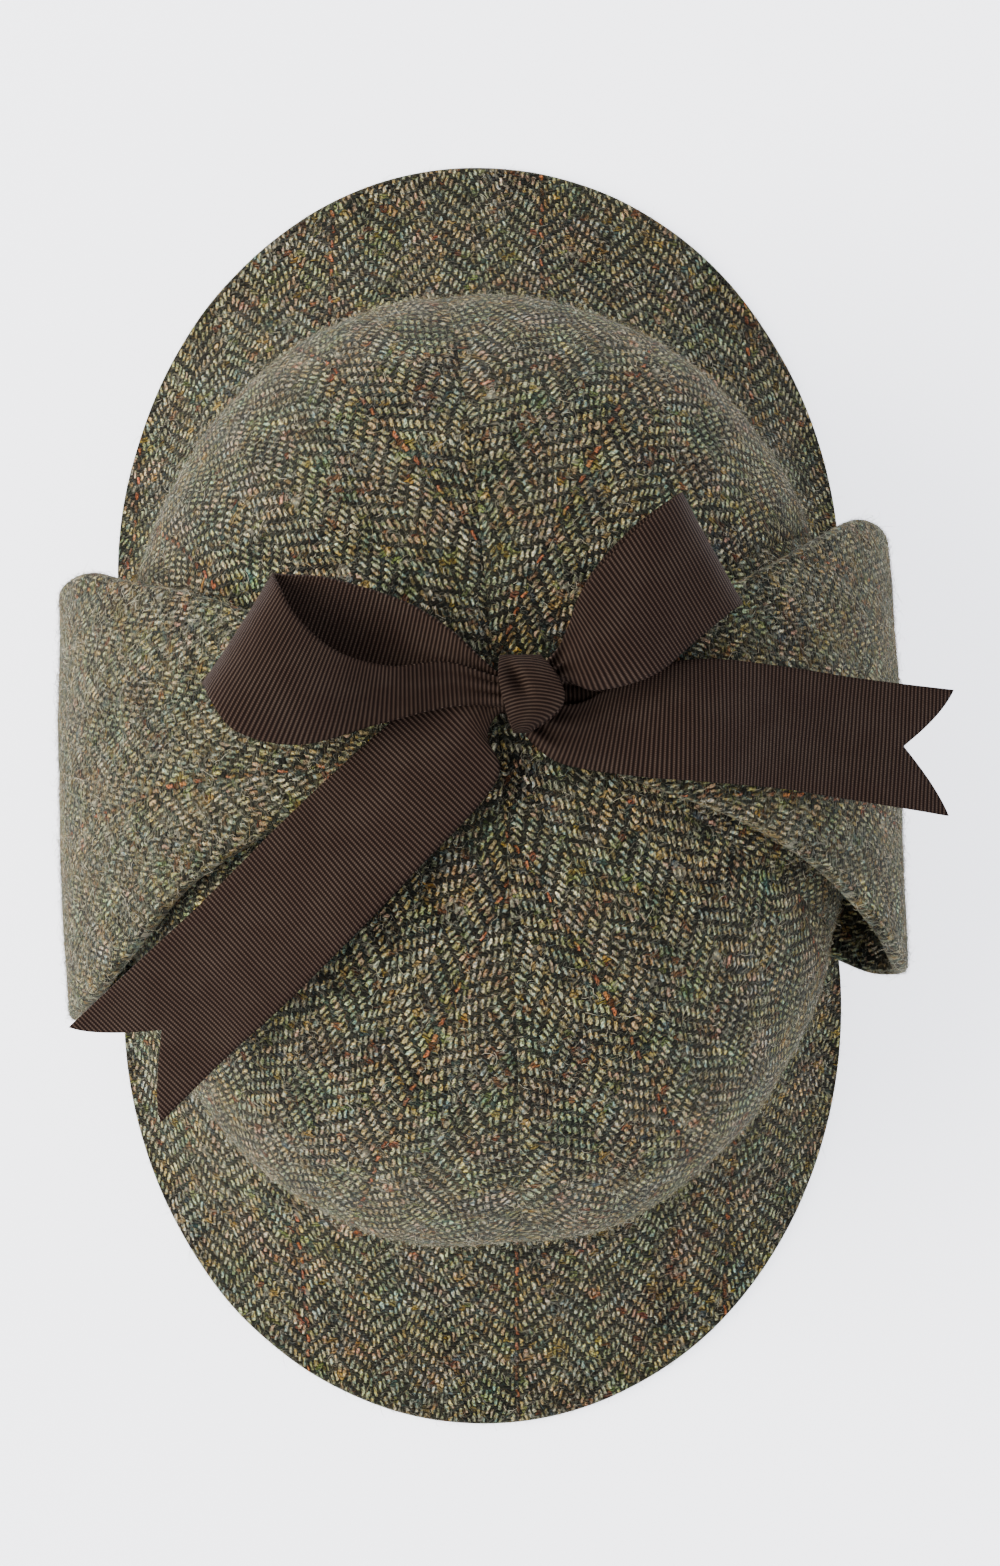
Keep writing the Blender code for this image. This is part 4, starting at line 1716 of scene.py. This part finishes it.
RIBBONS = (
    RibbonPiece("flap_tie_left", Held.LAID, ("ear_flap_left_cloth",), table=(
        (-19.0, 18.0, 135.3, -19.0, 0.0, 135.3, 0.4),
        (-9.0, 16.0, 136.2, -9.0, 4.0, 136.2, 0.4),
        (0.0, 14.0, 136.6, 0.0, 7.0, 136.6, 0.0),
        (8.0, 13.0, 136.8, 8.0, 8.0, 136.8, 0.0),
    )),
    RibbonPiece("flap_tie_right", Held.LAID, ("ear_flap_right_cloth",), table=(
        (32.0, 19.0, 133.5, 32.0, 2.0, 133.5, 0.4),
        (25.0, 16.5, 135.2, 25.0, 5.0, 135.2, 0.2),
        (15.0, 14.0, 136.4, 15.0, 8.0, 136.4, 0.0),
    )),
    RibbonPiece("ribbon_tail_left", Held.LAID, ("ear_flap_left_cloth",), notch_depth=11.2 * MM, table=(
        (11.0, 14.5, 141.8, 11.0, 8.0, 141.8, 0.0),
        (4.5, 14.5, 141.8, 4.5, 7.5, 141.8, 0.0),
        (-3.0, 12.4, 141.2, 2.0, 2.0, 141.2, 1.0),
        (-9.5, 10.5, 140.5, 4.5, -4.5, 140.0, 1.6),
        (-17.8, 6.5, 140.0, 0.3, -11.7, 139.0, 1.6),
        (-29.7, -3.6, 138.0, -10.6, -22.8, 136.5, 0.8),
        (-42.9, -15.5, 134.0, -24.8, -37.1, 132.0, 0.4),
        (-60.7, -32.2, 126.0, -41.4, -52.8, 123.0, 0.0),
        (-76.5, -45.8, 117.0, -56.1, -65.5, 114.0, -0.4),
        (-90.4, -57.9, 108.0, -70.5, -78.9, 105.0, -1.0),
    )),
    RibbonPiece("ribbon_tail_right", Held.LAID, ("ear_flap_right_cloth",), notch_depth=9.3 * MM, table=(
        (14.0, 9.5, 137.6, 10.0, 3.0, 137.6, 0.0),
        (22.5, 10.0, 137.7, 17.1, -2.8, 137.2, 0.8),
        (34.5, 16.5, 136.2, 31.5, -5.5, 134.5, 1.0),
        (48.0, 19.5, 133.5, 47.9, -6.7, 130.5, 1.2),
        (66.2, 18.6, 124.0, 64.6, -7.7, 120.5, 0.6),
        (83.8, 16.6, 114.5, 81.4, -9.8, 111.5, 0.0),
        (104.9, 14.8, 104.5, 103.8, -12.9, 101.5, -0.8),
    )),
    RibbonPiece("bow_loop_left", Held.FOLDED, ("ribbon_tail_left_cloth",), knot_at_end=True, table=(
        (11.0, 13.9, 143.6, 11.0, 8.9, 143.6, 0.0),
        (4.5, 15.0, 143.8, 4.5, 9.0, 143.6, 0.0),
        (-7.0, 18.2, 144.8, -6.5, 8.8, 144.6, -1.0),
        (-19.0, 17.3, 147.8, -19.8, 5.3, 147.2, -0.6),
        (-30.2, 20.4, 152.5, -37.8, 0.5, 150.2, 1.0),
        (-37.8, 27.0, 155.0, -50.8, 3.1, 152.5, 1.2),
        (-41.7, 33.5, 154.0, -56.4, 9.7, 151.5, 0.6),
        (-43.2, 37.0, 148.5, -58.2, 14.0, 146.0, 0.0),
        (-41.7, 37.2, 146.5, -57.0, 13.5, 137.0, -3.0),
        (-31.5, 36.2, 147.8, -42.1, 11.2, 133.5, -5.5),
        (-17.6, 32.0, 147.0, -24.3, 10.6, 135.0, -5.5),
        (-5.8, 25.0, 145.5, -8.5, 10.5, 140.5, -2.5),
        (4.5, 16.0, 142.8, 4.5, 8.5, 142.8, 0.0),
        (11.0, 15.0, 142.7, 11.0, 8.0, 142.7, 0.0),
    )),
    RibbonPiece("bow_loop_right", Held.FOLDED, ("ribbon_tail_right_cloth",), knot_at_end=True, table=(
        (12.2, 15.0, 144.7, 12.2, 10.5, 144.7, 0.0),
        (16.5, 19.5, 144.9, 18.5, 14.0, 144.7, 0.0),
        (19.5, 25.8, 147.2, 25.6, 12.0, 145.0, 1.0),
        (23.2, 34.2, 148.0, 37.3, 15.2, 144.0, 1.8),
        (33.3, 45.2, 145.5, 47.1, 22.9, 141.2, 1.8),
        (41.2, 52.5, 141.2, 54.4, 29.2, 137.2, 1.0),
        (44.3, 55.3, 135.5, 57.1, 31.3, 131.8, 0.0),
        (42.5, 54.9, 130.5, 54.9, 30.2, 127.5, 0.0),
        (33.3, 47.6, 134.5, 46.0, 24.0, 133.5, 0.0),
        (24.0, 36.6, 139.0, 36.2, 17.0, 138.4, 0.0),
        (20.5, 25.5, 141.8, 26.2, 12.2, 140.5, 0.0),
        (16.5, 19.0, 142.7, 18.5, 14.0, 142.5, 0.0),
        (12.2, 14.5, 142.7, 12.2, 10.5, 142.7, 0.0),
    )),
)

# Short nap and long curls on each gore, each peak and each flap
STRANDS_ON_GORE = (8600, 4000)
STRANDS_ON_PEAK = (5000, 900)
STRANDS_ON_FLAP = (14500, 4200)


def main() -> None:
    """Build and dress the hat, then the studio."""
    logging.basicConfig(level=logging.INFO, format="%(name)s %(message)s")
    tweed = HerringboneTweed().build("herringbone_tweed")
    grosgrain = Grosgrain().build("brown_grosgrain")
    fibre = WoolFibre().build("wool_fibre")
    kinds = (
        WoolFuzz(fibre, "nap", segments=2, shortest=0.8 * MM, longest=2.2 * MM, lift=0.4, curl=0.6),
        WoolFuzz(fibre, "curls", segments=4, shortest=1.8 * MM, longest=5.0 * MM, lift=0.45, curl=0.7),
    )
    seed = 1
    for pieces, counts in ((GORES, STRANDS_ON_GORE), (PEAKS, STRANDS_ON_PEAK), (FLAPS, STRANDS_ON_FLAP)):
        for piece in pieces:
            cloth = piece.build(tweed)
            for kind, count in zip(kinds, counts):
                kind.grow(cloth, count, seed)
                seed += 1
    for ribbon in RIBBONS:
        ribbon.build(grosgrain)
    Knot().build(grosgrain)
    Studio().build()


if __name__ == "__main__":
    main()
